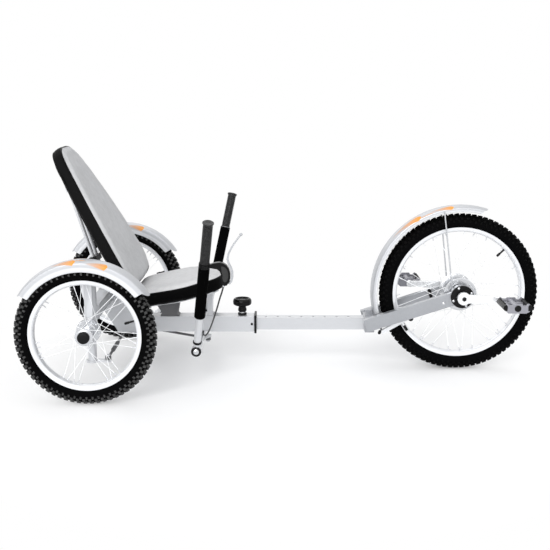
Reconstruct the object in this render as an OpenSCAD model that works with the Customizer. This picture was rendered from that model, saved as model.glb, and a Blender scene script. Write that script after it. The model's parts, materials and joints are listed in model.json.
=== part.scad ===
// Recumbent trike: a pedalled front wheel on a sliding boom, a low seat,
// and two rear wheels steered by a pair of levers beside the rider.
// X points forward, Y to the rider's left, Z up. Right-hand pieces sit at -Y.

/* [Stance] */
// Distance between the rear axle and the front axle
wheelbase = 1124; // [1080:2:1400]
// Distance between the middles of the two rear wheels
track = 690; // [680:2:840]
// Outer radius of the rear tyres
rear_r = 204.5; // [198:0.5:246]
// Outer radius of the front tyre
front_r = 253; // [245:0.5:290]
// Width of every tyre
tyre_w = 50; // [44:1:56]
// Height of a tyre from its bead to its tread
tyre_h = 44.5; // [40:0.5:50]

/* [Frame] */
// Width and height of the square main tube
tube_w = 50; // [44:1:60]
// Wall of the square tubes
tube_wall = 3; // [2.5:0.5:4]
// Height of the main tube's centre line
tube_z = 151; // [140:1:180]
// Distance from the rear axle to the main tube's mouth
tube_mouth = 472; // [460:1:560]
// Width of the beam that carries the rear wheels
beam_w = 40; // [34:1:46]
// Pitch of the adjustment holes in the boom
hole_pitch = 38; // [34:1:42]
// Radius of a kingpin housing
housing_r = 18; // [16:0.5:19]

/* [Seat] */
// Thickness of the seat cushion
seat_t = 42; // [34:1:48]
// Slope of the seat, rising to the front
seat_slope = 10.7; // [6:0.1:14]
// Largest half width of the seat cushion
seat_half_w = 152; // [130:1:170]
// Thickness of the back cushion
back_t = 38; // [30:1:46]
// Recline of the back from upright
back_recline = 29.66; // [24:0.01:34]
// Length of the back cushion
back_len = 475; // [400:1:500]

/* [Steering] */
// Distance from the rear axle to the steering pivot
bar_x = 300; // [280:1:330]
// Radius of the cross bar
bar_r = 12.5; // [11:0.5:14]
// Lengths of the right and left steering levers
lever_len = [440, 448]; // [400:1:500]
// Forward lean of the right and left levers
lever_lean = [7.3, 11.8]; // [0:0.1:20]
// Outward lean of the levers
lever_splay = 19.5; // [10:0.1:24]
// Length of the ribbed grips on the right and left levers
grip_len = [136, 119]; // [90:1:160]

/* [Drive] */
// Crank length between the centres of spindle and pedal
crank_len = 140; // [120:1:170]
// Angle of the right crank below level
crank_drop = 1.9; // [0:0.1:90]
// Height of a fork blade
blade_h = 41; // [34:1:46]
// Width of a fork blade
blade_w = 20; // [16:1:24]
// Gap between the fork blades
fork_gap = 100; // [92:1:110]

/* [Hidden] */
$fn = 96;
fit_gap = 0.3;      // between seated pieces
run_gap = 0.05;     // between a shaft and its bore
rear_axle_x = -(wheelbase + front_r - rear_r) / 2;

tube_bottom = tube_z - tube_w / 2;
tube_top = tube_z + tube_w / 2;
tube_rear = 32;
sleeve_t = 2.7;
collar_flange = 4.5;
collar_len = 7;
collar_depth = 60;
inner_w = tube_w - 2 * (tube_wall + sleeve_t + fit_gap);
inner_wall = 2.5;
inner_rear = tube_mouth - 162;

knob_x = tube_mouth - 39;
knob_nut_h = 9;
knob_stem_top = 31;
knob_disc = [30, 25];    // radius, height
plunger_r = 3.5;

kingpin_y = track / 2 - 83;
kingpin_r = 9;
housing_z0 = rear_r + 19.5;
housing_z1 = rear_r + 135.5;
beam_z = rear_r + 43.5;
beam_top = beam_z + beam_w / 2;
gusset_t = 4;

knuckle_r = 12.5;
boss_r = 15;
arm_t = 6;
arm_z = tube_bottom - 26;
tie_arm = 46;
tie_z = arm_z + arm_t + 6;
stud_r = 4;
eye_r = 9;
eye_h = 10;
rod_r = 4;
drag_arm = 36;
drag_step = 0.5;     // the left drag arm is this much thinner on each face
drag_z = arm_z - 12;
pivot_bolt_r = 5;

bar_z = tube_bottom - bar_r - 3.5;
bar_half = 195;
clamp_w = 28;
lever_r = 11;
lever_y = bar_half - clamp_w / 2;
foam_r = 16.5;
grip_r = 14.5;
foam_start = 124;
clamp_half = 7;      // half the length of the brake lever's clamp
cable_r = 2.5;
// Route of the brake cable from the lever to the main tube
cable_route = [
    [392, -282, 336], [389, -281, 326], [385, -276, 312], [379, -264, 294], [371, -240, 266],
    [362, -212, 236], [353, -182, 208], [344, -150, 181], [335, -120, 157], [326, -94, 138],
    [319, -74, 127], [315, -58, 122], [312, -47, 121], [310, -40, 122], [309, -34, 124]
];

seat_front = [372, 322];
seat_length = 277;
pan_t = 6;
back_foot = [121, 305];
strut_base = [-34, 362];
strut_lean = 17;
strut_len = 262;
strut_y = 25;
strut_r = 6;
strut_block = [24, 18];    // length and height of its clamp block

bead_rear = rear_r - tyre_h;
bead_front = front_r - tyre_h;
rim_w = 32;
rim_h = 13;
spoke_r = 1;
spoke_gap = 0.6;    // from a hub flange to the middle of a spoke's end
axle_r = 8;
spindle_r = 10;
fork_y = fork_gap / 2;
fork_root = [wheelbase - 292, 158];
blade_rise = atan((front_r - fork_root[1]) / (wheelbase - fork_root[0]));
blade_len = norm([front_r - fork_root[1], wheelbase - fork_root[0]]);
yoke_x = fork_root[0] - 8;
yoke_len = 30;
lug_proud = 1;       // of the fork end lugs beyond the blades' sides
plate_r = 36;
plate_t = 8;
plate_y = fork_y + blade_w + lug_proud;
crank_in = plate_y + plate_t + 13;
crank_t = 14;
crank_boss_r = 20;
crank_out = crank_in + crank_t;
pedal_w = 90;
pedal_l = 92;
pedal_h = 30;
pedal_in = crank_out + 12;

fender_t = 2;
front_fender_r = front_r + 27;
rear_fender_r = rear_r + 15.5;
front_fender_w = tyre_w + 14;
rear_fender_w = tyre_w + 12;

// Link between the steering bar and the left kingpin
pin_line = [-bar_x, kingpin_y];
pin_dist = norm(pin_line);
link_turn = atan2(pin_line[1], pin_line[0]) + asin(2 * drag_arm / pin_dist);
link_len = sqrt(pow(pin_dist, 2) - 4 * pow(drag_arm, 2));
arm_dir = [cos(link_turn - 90), sin(link_turn - 90)];
drag_front = [bar_x, 0] + drag_arm * arm_dir;
drag_rear = [0, kingpin_y] - drag_arm * arm_dir;

// ---------------------------------------------------------------- helpers

// Moves what is measured from the rear axle into the part's frame
module placed() translate([rear_axle_x, 0, 0]) children();

// Right-hand pieces as drawn, left-hand pieces mirrored
module on_side(side) {
    if (side == "left") mirror([0, 1, 0]) children();
    else children();
}

// A round bar along Y
module bar_y(x, z, y0, y1, r) translate([x, y0, z]) rotate([-90, 0, 0]) cylinder(r = r, h = y1 - y0);

// A square tube or bar along X
module square_x(x0, x1, z, w) translate([x0, -w / 2, z - w / 2]) cube([x1 - x0, w, w]);

// Turns a profile about a wheel's axle, with the profile's y pointing to -Y
module turned(x, y, z) translate([x, y, z]) rotate([90, 0, 0]) rotate_extrude() children();

// A plate in the XZ plane between two Y values
module plate_xz(y0, y1, points) translate([0, y1, 0]) rotate([90, 0, 0]) linear_extrude(y1 - y0) polygon(points);

// ----------------------------------------------------------------- wheels

module tyre_profile(r_out) difference() {
    translate([r_out - tyre_w / 2, 0]) circle(r = tyre_w / 2);
    translate([r_out - tyre_w / 2, 0]) circle(r = tyre_w / 2 - 4);
    translate([0, -tyre_w]) square([r_out - tyre_h, 2 * tyre_w]);
}

// A channel that is open towards the tyre
module rim_profile(bead) polygon([
    [bead - rim_h, -rim_w / 2], [bead - fit_gap, -rim_w / 2], [bead - fit_gap, -rim_w / 2 + 8],
    [bead - rim_h + 4, -rim_w / 2 + 8], [bead - rim_h + 4, rim_w / 2 - 8],
    [bead - fit_gap, rim_w / 2 - 8], [bead - fit_gap, rim_w / 2], [bead - rim_h, rim_w / 2]
]);

// Spokes from a flange at (r0, y0) to the rim at (r1, y1), y measured outwards
module spoke_ring(count, r0, y0, r1, y1, turn) {
    reach = norm([r1 - r0, y1 - y0]);
    lean = atan2(y1 - y0, r1 - r0);
    for (i = [0 : count - 1])
        rotate([0, turn + i * 360 / count, 0]) translate([r0, -y0, 0]) rotate([0, 90, -lean])
            cylinder(r = spoke_r, h = reach, $fn = 16);
}

module rear_tyre(side) color("#1c1c1d") placed() on_side(side)
    turned(0, -track / 2, rear_r) tyre_profile(rear_r);

module rear_rim(side) color("#d9dadc") placed() on_side(side)
    turned(0, -track / 2, rear_r) rim_profile(bead_rear);

// Inner drum flange, outer spoke flange and closed end cap
module rear_hub(side) color("#c9cbce") placed() on_side(side)
    turned(0, -track / 2, rear_r) polygon([
        [axle_r + run_gap, -48], [18, -48], [18, -45], [36, -45], [36, -41], [17, -41],
        [17, 21], [26, 21], [26, 25], [18, 25], [17.5, 38], [15.5, 40],
        [0, 40], [0, 37], [12, 37], [12, 27], [axle_r + run_gap, 27]
    ]);

module rear_spokes(side) color("#e4e5e7") placed() on_side(side)
    translate([0, -track / 2, rear_r]) {
        spoke_ring(14, 36 + spoke_gap, -43, bead_rear - rim_h - fit_gap, -4, 0);
        spoke_ring(14, 26 + spoke_gap, 23, bead_rear - rim_h - fit_gap, 4, 180 / 14);
    }

module front_tyre() color("#1c1c1d") placed() turned(wheelbase, 0, front_r) tyre_profile(front_r);

module front_rim() color("#d9dadc") placed() turned(wheelbase, 0, front_r) rim_profile(bead_front);

module front_hub() color("#c9cbce") placed() turned(wheelbase, 0, front_r) {
    bore = spindle_r + run_gap;
    polygon([
        [bore, -fork_y + 4], [16, -fork_y + 4], [16, -40], [52, -40], [52, -36], [26, -36],
        [26, 36], [52, 36], [52, 40], [16, 40], [16, fork_y - 4], [bore, fork_y - 4]
    ]);
}

module front_spokes() color("#e4e5e7") placed() translate([wheelbase, 0, front_r])
    for (half = [-1, 1])
        spoke_ring(18, 52 + spoke_gap, half * 38, bead_front - rim_h - fit_gap, half * 4, half * 5);

// ------------------------------------------------------------------ frame

module main_tube() color("#b9bcc2") placed() difference() {
    square_x(tube_rear, tube_mouth, tube_z, tube_w);
    square_x(tube_rear - 1, tube_mouth + 1, tube_z, tube_w - 2 * tube_wall);
    translate([knob_x, 0, tube_z]) cylinder(r = plunger_r + 1, h = tube_w);
}

// Plastic end collar with the sleeve that the boom slides in
module tube_collar() color("#1a1a1b") placed() difference() {
    union() {
        square_x(tube_mouth, tube_mouth + collar_len, tube_z, tube_w + 2 * collar_flange);
        square_x(tube_mouth - collar_depth, tube_mouth, tube_z, inner_w + 2 * (sleeve_t + fit_gap));
    }
    square_x(tube_mouth - collar_depth - 1, tube_mouth + collar_len + 1, tube_z, inner_w + 2 * fit_gap);
    translate([knob_x, 0, tube_z]) cylinder(r = plunger_r + 1, h = tube_w);
}

// Pull knob on a nut, with the plunger that drops into the boom's holes
module length_knob() color("#1b1b1c") placed() translate([knob_x, 0, 0]) {
    plunger_z = tube_z + inner_w / 2 + 0.5;
    translate([0, 0, tube_top]) cylinder(r = 14, h = knob_nut_h, $fn = 6);
    translate([0, 0, tube_top]) cylinder(r = 12.5, h = knob_stem_top);
    translate([0, 0, tube_top + knob_stem_top]) difference() {
        cylinder(r = knob_disc[0], h = knob_disc[1]);
        translate([0, 0, knob_disc[1] - 5]) cylinder(r = 22, h = 6);
    }
    translate([0, 0, plunger_z]) cylinder(r = plunger_r, h = tube_top - plunger_z + 1);
}

// Cross beam welded to the two kingpin housings
module rear_beam() color("#b9bcc2") placed() difference() {
    union() {
        translate([-beam_w / 2, -kingpin_y, beam_z - beam_w / 2]) cube([beam_w, 2 * kingpin_y, beam_w]);
        for (y = [-kingpin_y, kingpin_y])
            translate([0, y, housing_z0]) cylinder(r = housing_r, h = housing_z1 - housing_z0);
    }
    for (y = [-kingpin_y, kingpin_y])
        translate([0, y, housing_z0 - 1]) cylinder(r = kingpin_r + run_gap, h = housing_z1 - housing_z0 + 2);
}

// Side plates that carry the beam on the main tube
module gusset_plates() color("#aeb1b7") placed() {
    low = beam_z - beam_w / 2;
    for (y = [-tube_w / 2 - gusset_t, tube_w / 2]) plate_xz(y, y + gusset_t, [
        [-beam_w / 2, low], [-14, low - 22], [tube_rear + 4, tube_bottom], [tube_rear + 110, tube_bottom],
        [tube_rear + 98, tube_top - 8], [72, beam_z - 8], [beam_w / 2 + 10, low + beam_w - 2],
        [beam_w / 2, low + beam_w - 2], [beam_w / 2, low]
    ]);
}

// Bolt, washer plate and nut that the steering bar swings on
module steering_pivot() color("#9a9da3") placed() translate([bar_x, 0, 0]) {
    translate([0, 0, tube_bottom - 3.2]) cylinder(r = 22, h = 3.2);
    translate([0, 0, bar_z - bar_r - 10]) cylinder(r = pivot_bolt_r, h = tube_bottom - bar_z + bar_r + 8);
    translate([0, 0, bar_z - bar_r - 10]) cylinder(r = 9, h = 5.6, $fn = 6);
}

// ------------------------------------------------------------------- seat

function seat_top(x) = seat_front[1] + (x - seat_front[0]) * tan(seat_slope);
function pan_bottom(x) = seat_top(x) - (seat_t + pan_t + 2 * fit_gap) / cos(seat_slope);

// Places a shape drawn from the seat's rear edge, z = 0 on the cushion's top
module on_seat() translate([seat_front[0], 0, seat_front[1]]) rotate([0, -seat_slope, 0])
    translate([-seat_length, 0, 0]) children();

// Half of a plan outline, mirrored about its centre line
function whole(half) = concat(half, [for (i = [len(half) - 1 : -1 : 0]) [half[i][0], -half[i][1]]]);

module seat_pad() color("#c9cacb") placed() on_seat() translate([0, 0, -seat_t])
    linear_extrude(seat_t) polygon(whole([
        [0, 0.78 * seat_half_w], [8, 0.86 * seat_half_w], [26, 0.92 * seat_half_w], [105, 0.985 * seat_half_w],
        [142, seat_half_w], [176, 0.95 * seat_half_w], [204, 0.82 * seat_half_w], [240, 0.735 * seat_half_w],
        [262, 0.61 * seat_half_w], [seat_length, 0.36 * seat_half_w]
    ]));

// Sheet pan under the cushion
module seat_pan() color("#b9bcc2") placed() on_seat() translate([0, 0, -seat_t - fit_gap - pan_t])
    linear_extrude(pan_t) polygon(whole([
        [8, 0.76 * seat_half_w], [140, 0.9 * seat_half_w], [204, 0.74 * seat_half_w],
        [240, 0.66 * seat_half_w], [258, 0.5 * seat_half_w]
    ]));

// Front post from the main tube to the pan
module seat_post() color("#b9bcc2") placed() {
    foot = [316, 344];
    top = [321, 340];
    translate([foot[0], -24, tube_top]) cube([foot[1] - foot[0], 48, 4]);
    plate_xz(-19, 19, [
        [foot[0] + 5, tube_top + 4], [foot[1] - 6, tube_top + 4],
        [top[1], pan_bottom(top[1])], [top[0], pan_bottom(top[0])]
    ]);
}

// Wedge that carries the rear of the pan
module seat_bracket() color("#4c4e52") placed() plate_xz(-22, 22, [
    [170, tube_top], [232, tube_top], [226, tube_top + 6], [238, pan_bottom(238)],
    [150, pan_bottom(150)], [176, tube_top + 12]
]);

// Places a shape drawn from the back's foot: x forward of the face, z up the back
module on_back() translate([back_foot[0], 0, back_foot[1]]) rotate([0, -back_recline, 0]) children();

module seat_back() color("#c4c5c7") placed() on_back() translate([-back_t, 0, 0]) rotate([0, 90, 0])
    linear_extrude(back_t) polygon([for (p = whole([
        [0, 122], [14, 152], [40, 175], [69, 182], [110, 179], [255, 148],
        [400, 110], [443, 90], [462, 66], [472, 36]
    ])) [-p[0] * back_len / 475, p[1]]]);

// Turns a point in the XZ plane backwards about the origin
function leaned(p, lean) = [p[0] * cos(lean) - p[1] * sin(lean), p[0] * sin(lean) + p[1] * cos(lean)];

// A point behind the back cushion, at a height up the back
function behind_back(gap, up) = back_foot + leaned([-back_t - gap, up], back_recline);

// Two hinge plates between the pan and the foot of the back
module back_hinges() color("#242425") placed() for (y = [-70, 64]) plate_xz(y, y + 6, [
    [150, pan_bottom(150) - fit_gap], [150, pan_bottom(150) - 14], [84, pan_bottom(84) - 14],
    behind_back(12, 0), behind_back(12, 62), behind_back(fit_gap, 62), behind_back(fit_gap, 0),
    [90, pan_bottom(90) - fit_gap]
]);

// Leaning post from the beam to the clamp of the back strut
module back_post() color("#b0b3b9") placed() plate_xz(-12, 12, [
    [-beam_w / 2, beam_top], [4, beam_top],
    strut_base + leaned([10, -strut_block[1] / 2 - fit_gap], strut_lean),
    strut_base + leaned([-10, -strut_block[1] / 2 - fit_gap], strut_lean)
]);

// Twin rods with their clamp block below and the bracket on the back above
module back_strut() color("#c9cbce") placed() {
    translate([strut_base[0], 0, strut_base[1]]) rotate([0, -strut_lean, 0]) {
        for (y = [-strut_y, strut_y]) translate([0, y, 0]) cylinder(r = strut_r, h = strut_len);
        translate([-strut_block[0] / 2, -strut_y - 10, -strut_block[1] / 2])
            cube([strut_block[0], 2 * strut_y + 20, strut_block[1]]);
    }
    top = strut_base + leaned([0, strut_len], strut_lean);
    up = leaned(top - back_foot, -back_recline)[1];
    plate_xz(-strut_y - 12, strut_y + 12, [
        behind_back(fit_gap, up - 36), behind_back(28, up - 36), behind_back(18, up), behind_back(fit_gap, up)
    ]);
}

// --------------------------------------------------------------- steering

// Direction of a lever, and a point on its axis, on the right-hand side
function lever_dir(i) = [tan(lever_lean[i]), -tan(lever_splay), 1];
function lever_point(i, s) = [bar_x, -lever_y, bar_z] + s * lever_dir(i) / norm(lever_dir(i));
function lever_side(i) = i == 0 ? "right" : "left";

// Draws along a lever, with Z up its axis
module on_lever(i) on_side(lever_side(i)) translate(lever_point(i, 0))
    rotate([0, acos(1 / norm(lever_dir(i))), atan2(lever_dir(i)[1], lever_dir(i)[0])]) children();

// Cross bar, with the drop arm and pin of the link to the left kingpin
module steering_bar() color("#b9bcc2") placed() {
    arm_bottom = drag_z + eye_h / 2 + 0.5;
    difference() {
        union() {
            bar_y(bar_x, bar_z, -bar_half, bar_half, bar_r);
            translate([bar_x, 0, arm_bottom]) rotate([0, 0, link_turn - 90]) {
                translate([0, -11, 0]) cube([drag_arm, 22, arm_t + 1]);
                translate([drag_arm, 0, 0]) cylinder(r = 11, h = arm_t + 1);
                cylinder(r = 15, h = arm_t + 1);
            }
        }
        bar_y(bar_x, bar_z, -bar_half - 1, bar_half + 1, bar_r - 2.5);
        translate([bar_x, 0, 0]) cylinder(r = pivot_bolt_r + run_gap, h = tube_bottom);
    }
    translate([drag_front[0], drag_front[1], drag_z - eye_h / 2 - 5.5]) {
        cylinder(r = stud_r, h = eye_h + 7);
        cylinder(r = 6.5, h = 5, $fn = 6);
    }
}

// Levers with the rings that hold them on the cross bar
module lever_tubes() color("#c3c6ca") placed() for (i = [0, 1]) difference() {
    union() {
        on_lever(i) cylinder(r = lever_r, h = lever_len[i]);
        on_side(lever_side(i)) bar_y(bar_x, bar_z, -bar_half, -bar_half + clamp_w, bar_r + 3.5);
    }
    bar_y(bar_x, bar_z, -bar_half - 1, bar_half + 1, bar_r + fit_gap);
}

module lever_sleeve(r, s0, s1) translate([0, 0, s0]) difference() {
    cylinder(r = r, h = s1 - s0);
    translate([0, 0, -1]) cylinder(r = lever_r + fit_gap, h = s1 - s0 + 2);
}

// Where foam and grip meet, with room for the brake lever's clamp on the right
function grip_start(i) = lever_len[i] - grip_len[i];
function clamp_room(i) = fit_gap + (i == 0 ? clamp_half : 0);

module lever_foams() color("#151516") placed() for (i = [0, 1])
    on_lever(i) lever_sleeve(foam_r, foam_start, grip_start(i) - clamp_room(i));

module lever_grips() color("#262627") placed() for (i = [0, 1]) on_lever(i) {
    lever_sleeve(grip_r, grip_start(i) + clamp_room(i), lever_len[i] + fit_gap);
    translate([0, 0, lever_len[i] + fit_gap]) cylinder(r = grip_r + 3, h = 5);
}

// Clamp, body and curved blade of the brake lever on the right
module brake_lever() color("#2b2b2d") placed() {
    split = lever_point(0, grip_start(0));
    on_lever(0) translate([0, 0, grip_start(0)]) difference() {
        translate([0, 0, -clamp_half]) cylinder(r = grip_r + 2, h = 2 * clamp_half);
        translate([0, 0, -clamp_half - 1]) cylinder(r = lever_r + fit_gap, h = 2 * clamp_half + 2);
    }
    translate(split) {
        plate_xz(-9, 9, [
            [14, 3], [40, 10], [58, 8], [70, -4], [77, -22], [75, -46], [66, -58],
            [52, -58], [46, -44], [48, -26], [40, -12], [13, -6]
        ]);
        plate_xz(-5, 5, [[62, 4], [72, -6], [76, 30], [96, 72], [108, 88], [101, 92], [89, 78], [67, 36]]);
    }
}

// Rings of a tube swept along a route, then its faces
function ring_axis(r, i) = let (d = r[min(i + 1, len(r) - 1)] - r[max(i - 1, 0)]) d / norm(d);
function tube_points(r, radius, n) = [for (i = [0 : len(r) - 1])
    let (t = ring_axis(r, i), u = cross([1, 0, 0], t) / norm(cross([1, 0, 0], t)), v = cross(t, u))
    for (k = [0 : n - 1]) r[i] + radius * (cos(360 * k / n) * u + sin(360 * k / n) * v)];
function tube_faces(m, n) = concat(
    [[for (k = [0 : n - 1]) k]], [[for (k = [n - 1 : -1 : 0]) (m - 1) * n + k]],
    [for (i = [0 : m - 2]) for (k = [0 : n - 1])
        [i * n + k, (i + 1) * n + k, (i + 1) * n + (k + 1) % n, i * n + (k + 1) % n]]);

module brake_cable() color("#1a1a1a") placed()
    polyhedron(points = tube_points(cable_route, cable_r, 8), faces = tube_faces(len(cable_route), 8));

// Kingpin, stub axle, steering arm and fender stay, drawn for the right side
module knuckle_body() {
    top = housing_z0 - 0.5;
    fender_in = track / 2 - kingpin_y - rear_fender_w / 2;
    tab_z = rear_r + rear_fender_r - 18;
    translate([0, -kingpin_y, 0]) {
        translate([0, 0, arm_z]) cylinder(r = knuckle_r, h = top - arm_z);
        translate([0, 0, rear_r - 19]) cylinder(r = 17, h = top - rear_r + 19);
        translate([0, 0, top - 1]) cylinder(r = kingpin_r, h = housing_z1 - top + 9);
        translate([0, 0, housing_z1 + 0.5]) cylinder(r = 13, h = 8, $fn = 6);
        bar_y(0, rear_r, -34, 0, boss_r);
        bar_y(0, rear_r, -118, 0, axle_r);
        translate([0, 0, arm_z]) cylinder(r = 19, h = arm_t);
        translate([0, -10, arm_z]) cube([tie_arm, 20, arm_t]);
        translate([tie_arm, 0, arm_z]) cylinder(r = 10, h = arm_t);
        translate([tie_arm, 0, arm_z]) cylinder(r = stud_r, h = arm_t + eye_h + 6);
        translate([tie_arm, 0, tie_z + eye_h / 2 + 0.5]) cylinder(r = 6.5, h = 4, $fn = 6);
        translate([-11, -28.5, rear_r]) cube([22, 3, tab_z - rear_r + 4]);
        translate([-11, -fender_in + fit_gap, tab_z]) cube([22, fender_in - fit_gap - 25.5, 4]);
    }
}

module knuckle_right() color("#c3c6ca") placed() knuckle_body();

// The left knuckle also has the arm that the link from the bar pushes
module knuckle_left() color("#c3c6ca") placed() {
    on_side("left") knuckle_body();
    translate([0, kingpin_y, arm_z]) rotate([0, 0, link_turn + 90]) {
        translate([0, -9, drag_step]) cube([drag_arm, 18, arm_t - 2 * drag_step]);
        translate([drag_arm, 0, drag_step]) cylinder(r = 11, h = arm_t - 2 * drag_step);
    }
}

// Bar between the two steering arms, with an adjusting sleeve
module tie_rod() color("#8f9298") placed() difference() {
    union() {
        bar_y(tie_arm, tie_z, -kingpin_y, kingpin_y, rod_r);
        bar_y(tie_arm, tie_z, -kingpin_y + 78, -kingpin_y + 158, rod_r + 2.5);
        for (y = [-kingpin_y, kingpin_y]) translate([tie_arm, y, tie_z - eye_h / 2]) cylinder(r = eye_r, h = eye_h);
    }
    for (y = [-kingpin_y, kingpin_y])
        translate([tie_arm, y, tie_z - eye_h]) cylinder(r = stud_r + run_gap, h = 2 * eye_h);
}

// Link from the bar's drop arm to the left kingpin's arm, with a ball cup at the rear
module drag_link() color("#8f9298") placed() translate([drag_front[0], drag_front[1], drag_z]) difference() {
    rotate([0, 0, link_turn]) union() {
        rotate([0, 90, 0]) cylinder(r = rod_r, h = link_len);
        translate([0, 0, -eye_h / 2]) cylinder(r = eye_r, h = eye_h);
        translate([link_len, 0, -eye_h / 2]) cylinder(r = 10, h = arm_z + drag_step - drag_z + eye_h / 2 - 0.5);
    }
    translate([0, 0, -eye_h]) cylinder(r = stud_r + run_gap, h = 2 * eye_h);
}

// ---------------------------------------------------------------- fenders

// Arched channel section whose crown is at radius r
module fender_profile(r, w, crown, lip) polygon(concat(
    [for (a = [-90 : 15 : 90]) [r - crown * (1 - cos(a)), w / 2 * sin(a)]],
    [[r - crown - lip, w / 2], [r - crown - lip, w / 2 - fender_t]],
    [for (a = [90 : -15 : -90]) [r - fender_t - crown * (1 - cos(a)), (w / 2 - fender_t) * sin(a)]],
    [[r - crown - lip, -w / 2 + fender_t], [r - crown - lip, -w / 2]]
));

module fender(x, y, z, start, stop) translate([x, y, z]) rotate([90, 0, 0]) rotate([0, 0, start])
    rotate_extrude(angle = stop - start) children();

module rear_fender(side) color("#c3c6ca") placed() on_side(side)
    fender(0, -track / 2, rear_r, 32, 148) fender_profile(rear_fender_r, rear_fender_w, 8, 24);

module front_fender() color("#c3c6ca") placed()
    fender(wheelbase, 0, front_r, 72.5, 195) fender_profile(front_fender_r, front_fender_w, 9, 10);

// Thin rods from the fender's lips to the inner faces of the fork ends
module fender_stays() color("#d0d2d5") placed() {
    r = 2.3;
    top = [wheelbase - 58, front_fender_w / 2 + fit_gap + r, front_r + 262];
    low = [wheelbase - 26, fork_y - lug_proud - fit_gap - r, front_r + 14];
    for (side = ["right", "left"]) on_side(side) {
        run = [top[0] - low[0], low[1] - top[1], top[2] - low[2]];
        translate([low[0], -low[1], low[2]]) rotate([0, acos(run[2] / norm(run)), atan2(run[1], run[0])])
            cylinder(r = r, h = norm(run));
    }
}

// ------------------------------------------------------------------- boom

// Inner tube with its row of adjustment holes
module boom_tube() color("#b9bcc2") placed() difference() {
    square_x(inner_rear, yoke_x, tube_z, inner_w);
    square_x(inner_rear - 1, yoke_x + 1, tube_z, inner_w - 2 * inner_wall);
    for (x = [knob_x - 2 * hole_pitch : hole_pitch : yoke_x - 30])
        translate([x, 0, tube_z]) cylinder(r = 4, h = tube_w);
}

// Places a shape drawn along a fork blade, from its root to the wheel's axle
module on_blade() translate([fork_root[0], 0, fork_root[1]]) rotate([0, -blade_rise, 0]) children();

// Yoke, two blades and the tab that meets the front fender
module fork() color("#bcbfc4") placed() difference() {
    union() {
        translate([yoke_x, -fork_y - 1, tube_bottom + 5]) cube([yoke_len, fork_gap + 2, tube_w - 6]);
        for (y = [-fork_y - blade_w, fork_y]) {
            on_blade() translate([-8, y, -blade_h / 2]) cube([blade_len - 12, blade_w, blade_h]);
            bar_y(wheelbase, front_r, y - lug_proud, y + blade_w + lug_proud, 34);
        }
        difference() {
            translate([yoke_x + 6, -12, tube_top - 6]) cube([34, 24, 26]);
            bar_y(wheelbase, front_r, -20, 20, front_fender_r + fit_gap);
        }
    }
    bar_y(wheelbase, front_r, -plate_y - 1, plate_y + 1, spindle_r + run_gap);
}

// Round bearing plates on the outside of the fork ends
module bearing_plates() color("#1c1c1d") placed() for (side = ["right", "left"]) on_side(side) difference() {
    bar_y(wheelbase, front_r, -plate_y - plate_t, -plate_y, plate_r);
    bar_y(wheelbase, front_r, -plate_y - plate_t - 1, -plate_y + 1, spindle_r + run_gap);
}

// Brake arms on pivots under the blades, with their pads beside the rim
module front_brake() color("#c3c6ca") placed() {
    pivot = [wheelbase - 149, front_r - 69];
    tip = [wheelbase - 246, front_r - 125];
    pad_turn = 31;
    arm_run = pivot - tip;
    for (side = ["right", "left"]) on_side(side) {
        bar_y(pivot[0], pivot[1], -fork_y, -fork_y + 20, 7);
        translate([tip[0], 0, tip[1]]) rotate([0, -atan2(arm_run[1], arm_run[0]), 0])
            translate([0, -fork_y + 6, -6]) cube([norm(arm_run), 12, 12]);
        translate([wheelbase, 0, front_r]) rotate([0, -pad_turn, 0]) {
            translate([-bead_front + 2, -rim_w / 2 - 15, -20]) cube([9, 11.5, 44]);
            translate([-bead_front + 3, -rim_w / 2 - 15 - 8, 2]) cube([7, 16, 24]);
        }
    }
    bar_y(tip[0] + 4, tip[1], -fork_y + 10, fork_y - 10, 3.5);
}

// ------------------------------------------------------------------ drive

// Spindle and both cranks, the right one ahead and the left one behind
module crankset() color("#c9cbce") placed() translate([wheelbase, 0, front_r]) rotate([0, crank_drop, 0]) {
    bar_y(0, 0, -crank_out, crank_out, spindle_r);
    for (turn = [0, 180]) rotate([0, 0, turn]) {
        bar_y(0, 0, -crank_out, -crank_in, crank_boss_r);
        translate([0, -crank_in, 0]) rotate([90, 0, 0]) linear_extrude(crank_t)
            polygon([[0, -14], [crank_len, -8.5], [crank_len, 8.5], [0, 14]]);
        bar_y(crank_len, 0, -crank_out, -crank_in, 11);
        bar_y(crank_len, 0, -pedal_in - pedal_w + 4, -crank_in, 6);
    }
}

// Cage pedal with side plates, cross bars and a centre barrel
module pedal(side) color("#a9abb0") placed() {
    turn = side == "right" ? 1 : -1;
    hex = [
        [-pedal_l / 2, 0], [-pedal_l / 2 + 18, -pedal_h / 2], [pedal_l / 2 - 18, -pedal_h / 2],
        [pedal_l / 2, 0], [pedal_l / 2 - 12, pedal_h / 2], [-pedal_l / 2 + 12, pedal_h / 2]
    ];
    translate([wheelbase + turn * crank_len * cos(crank_drop), 0, front_r - turn * crank_len * sin(crank_drop)])
        on_side(side) difference() {
            union() {
                bar_y(0, 0, -pedal_in - pedal_w, -pedal_in, 11);
                plate_xz(-pedal_in - 5, -pedal_in, hex);
                plate_xz(-pedal_in - pedal_w, -pedal_in - pedal_w + 5, hex);
                for (x = [-pedal_l / 2 + 6, pedal_l / 2 - 12])
                    translate([x, -pedal_in - pedal_w, -7]) cube([6, pedal_w, 14]);
                translate([-pedal_l / 2 + 8, -pedal_in - pedal_w / 2 - 12, -6]) cube([pedal_l - 16, 24, 12]);
            }
            bar_y(0, 0, -pedal_in - pedal_w + 3, -pedal_in + 1, 6 + run_gap);
        }
}

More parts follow.
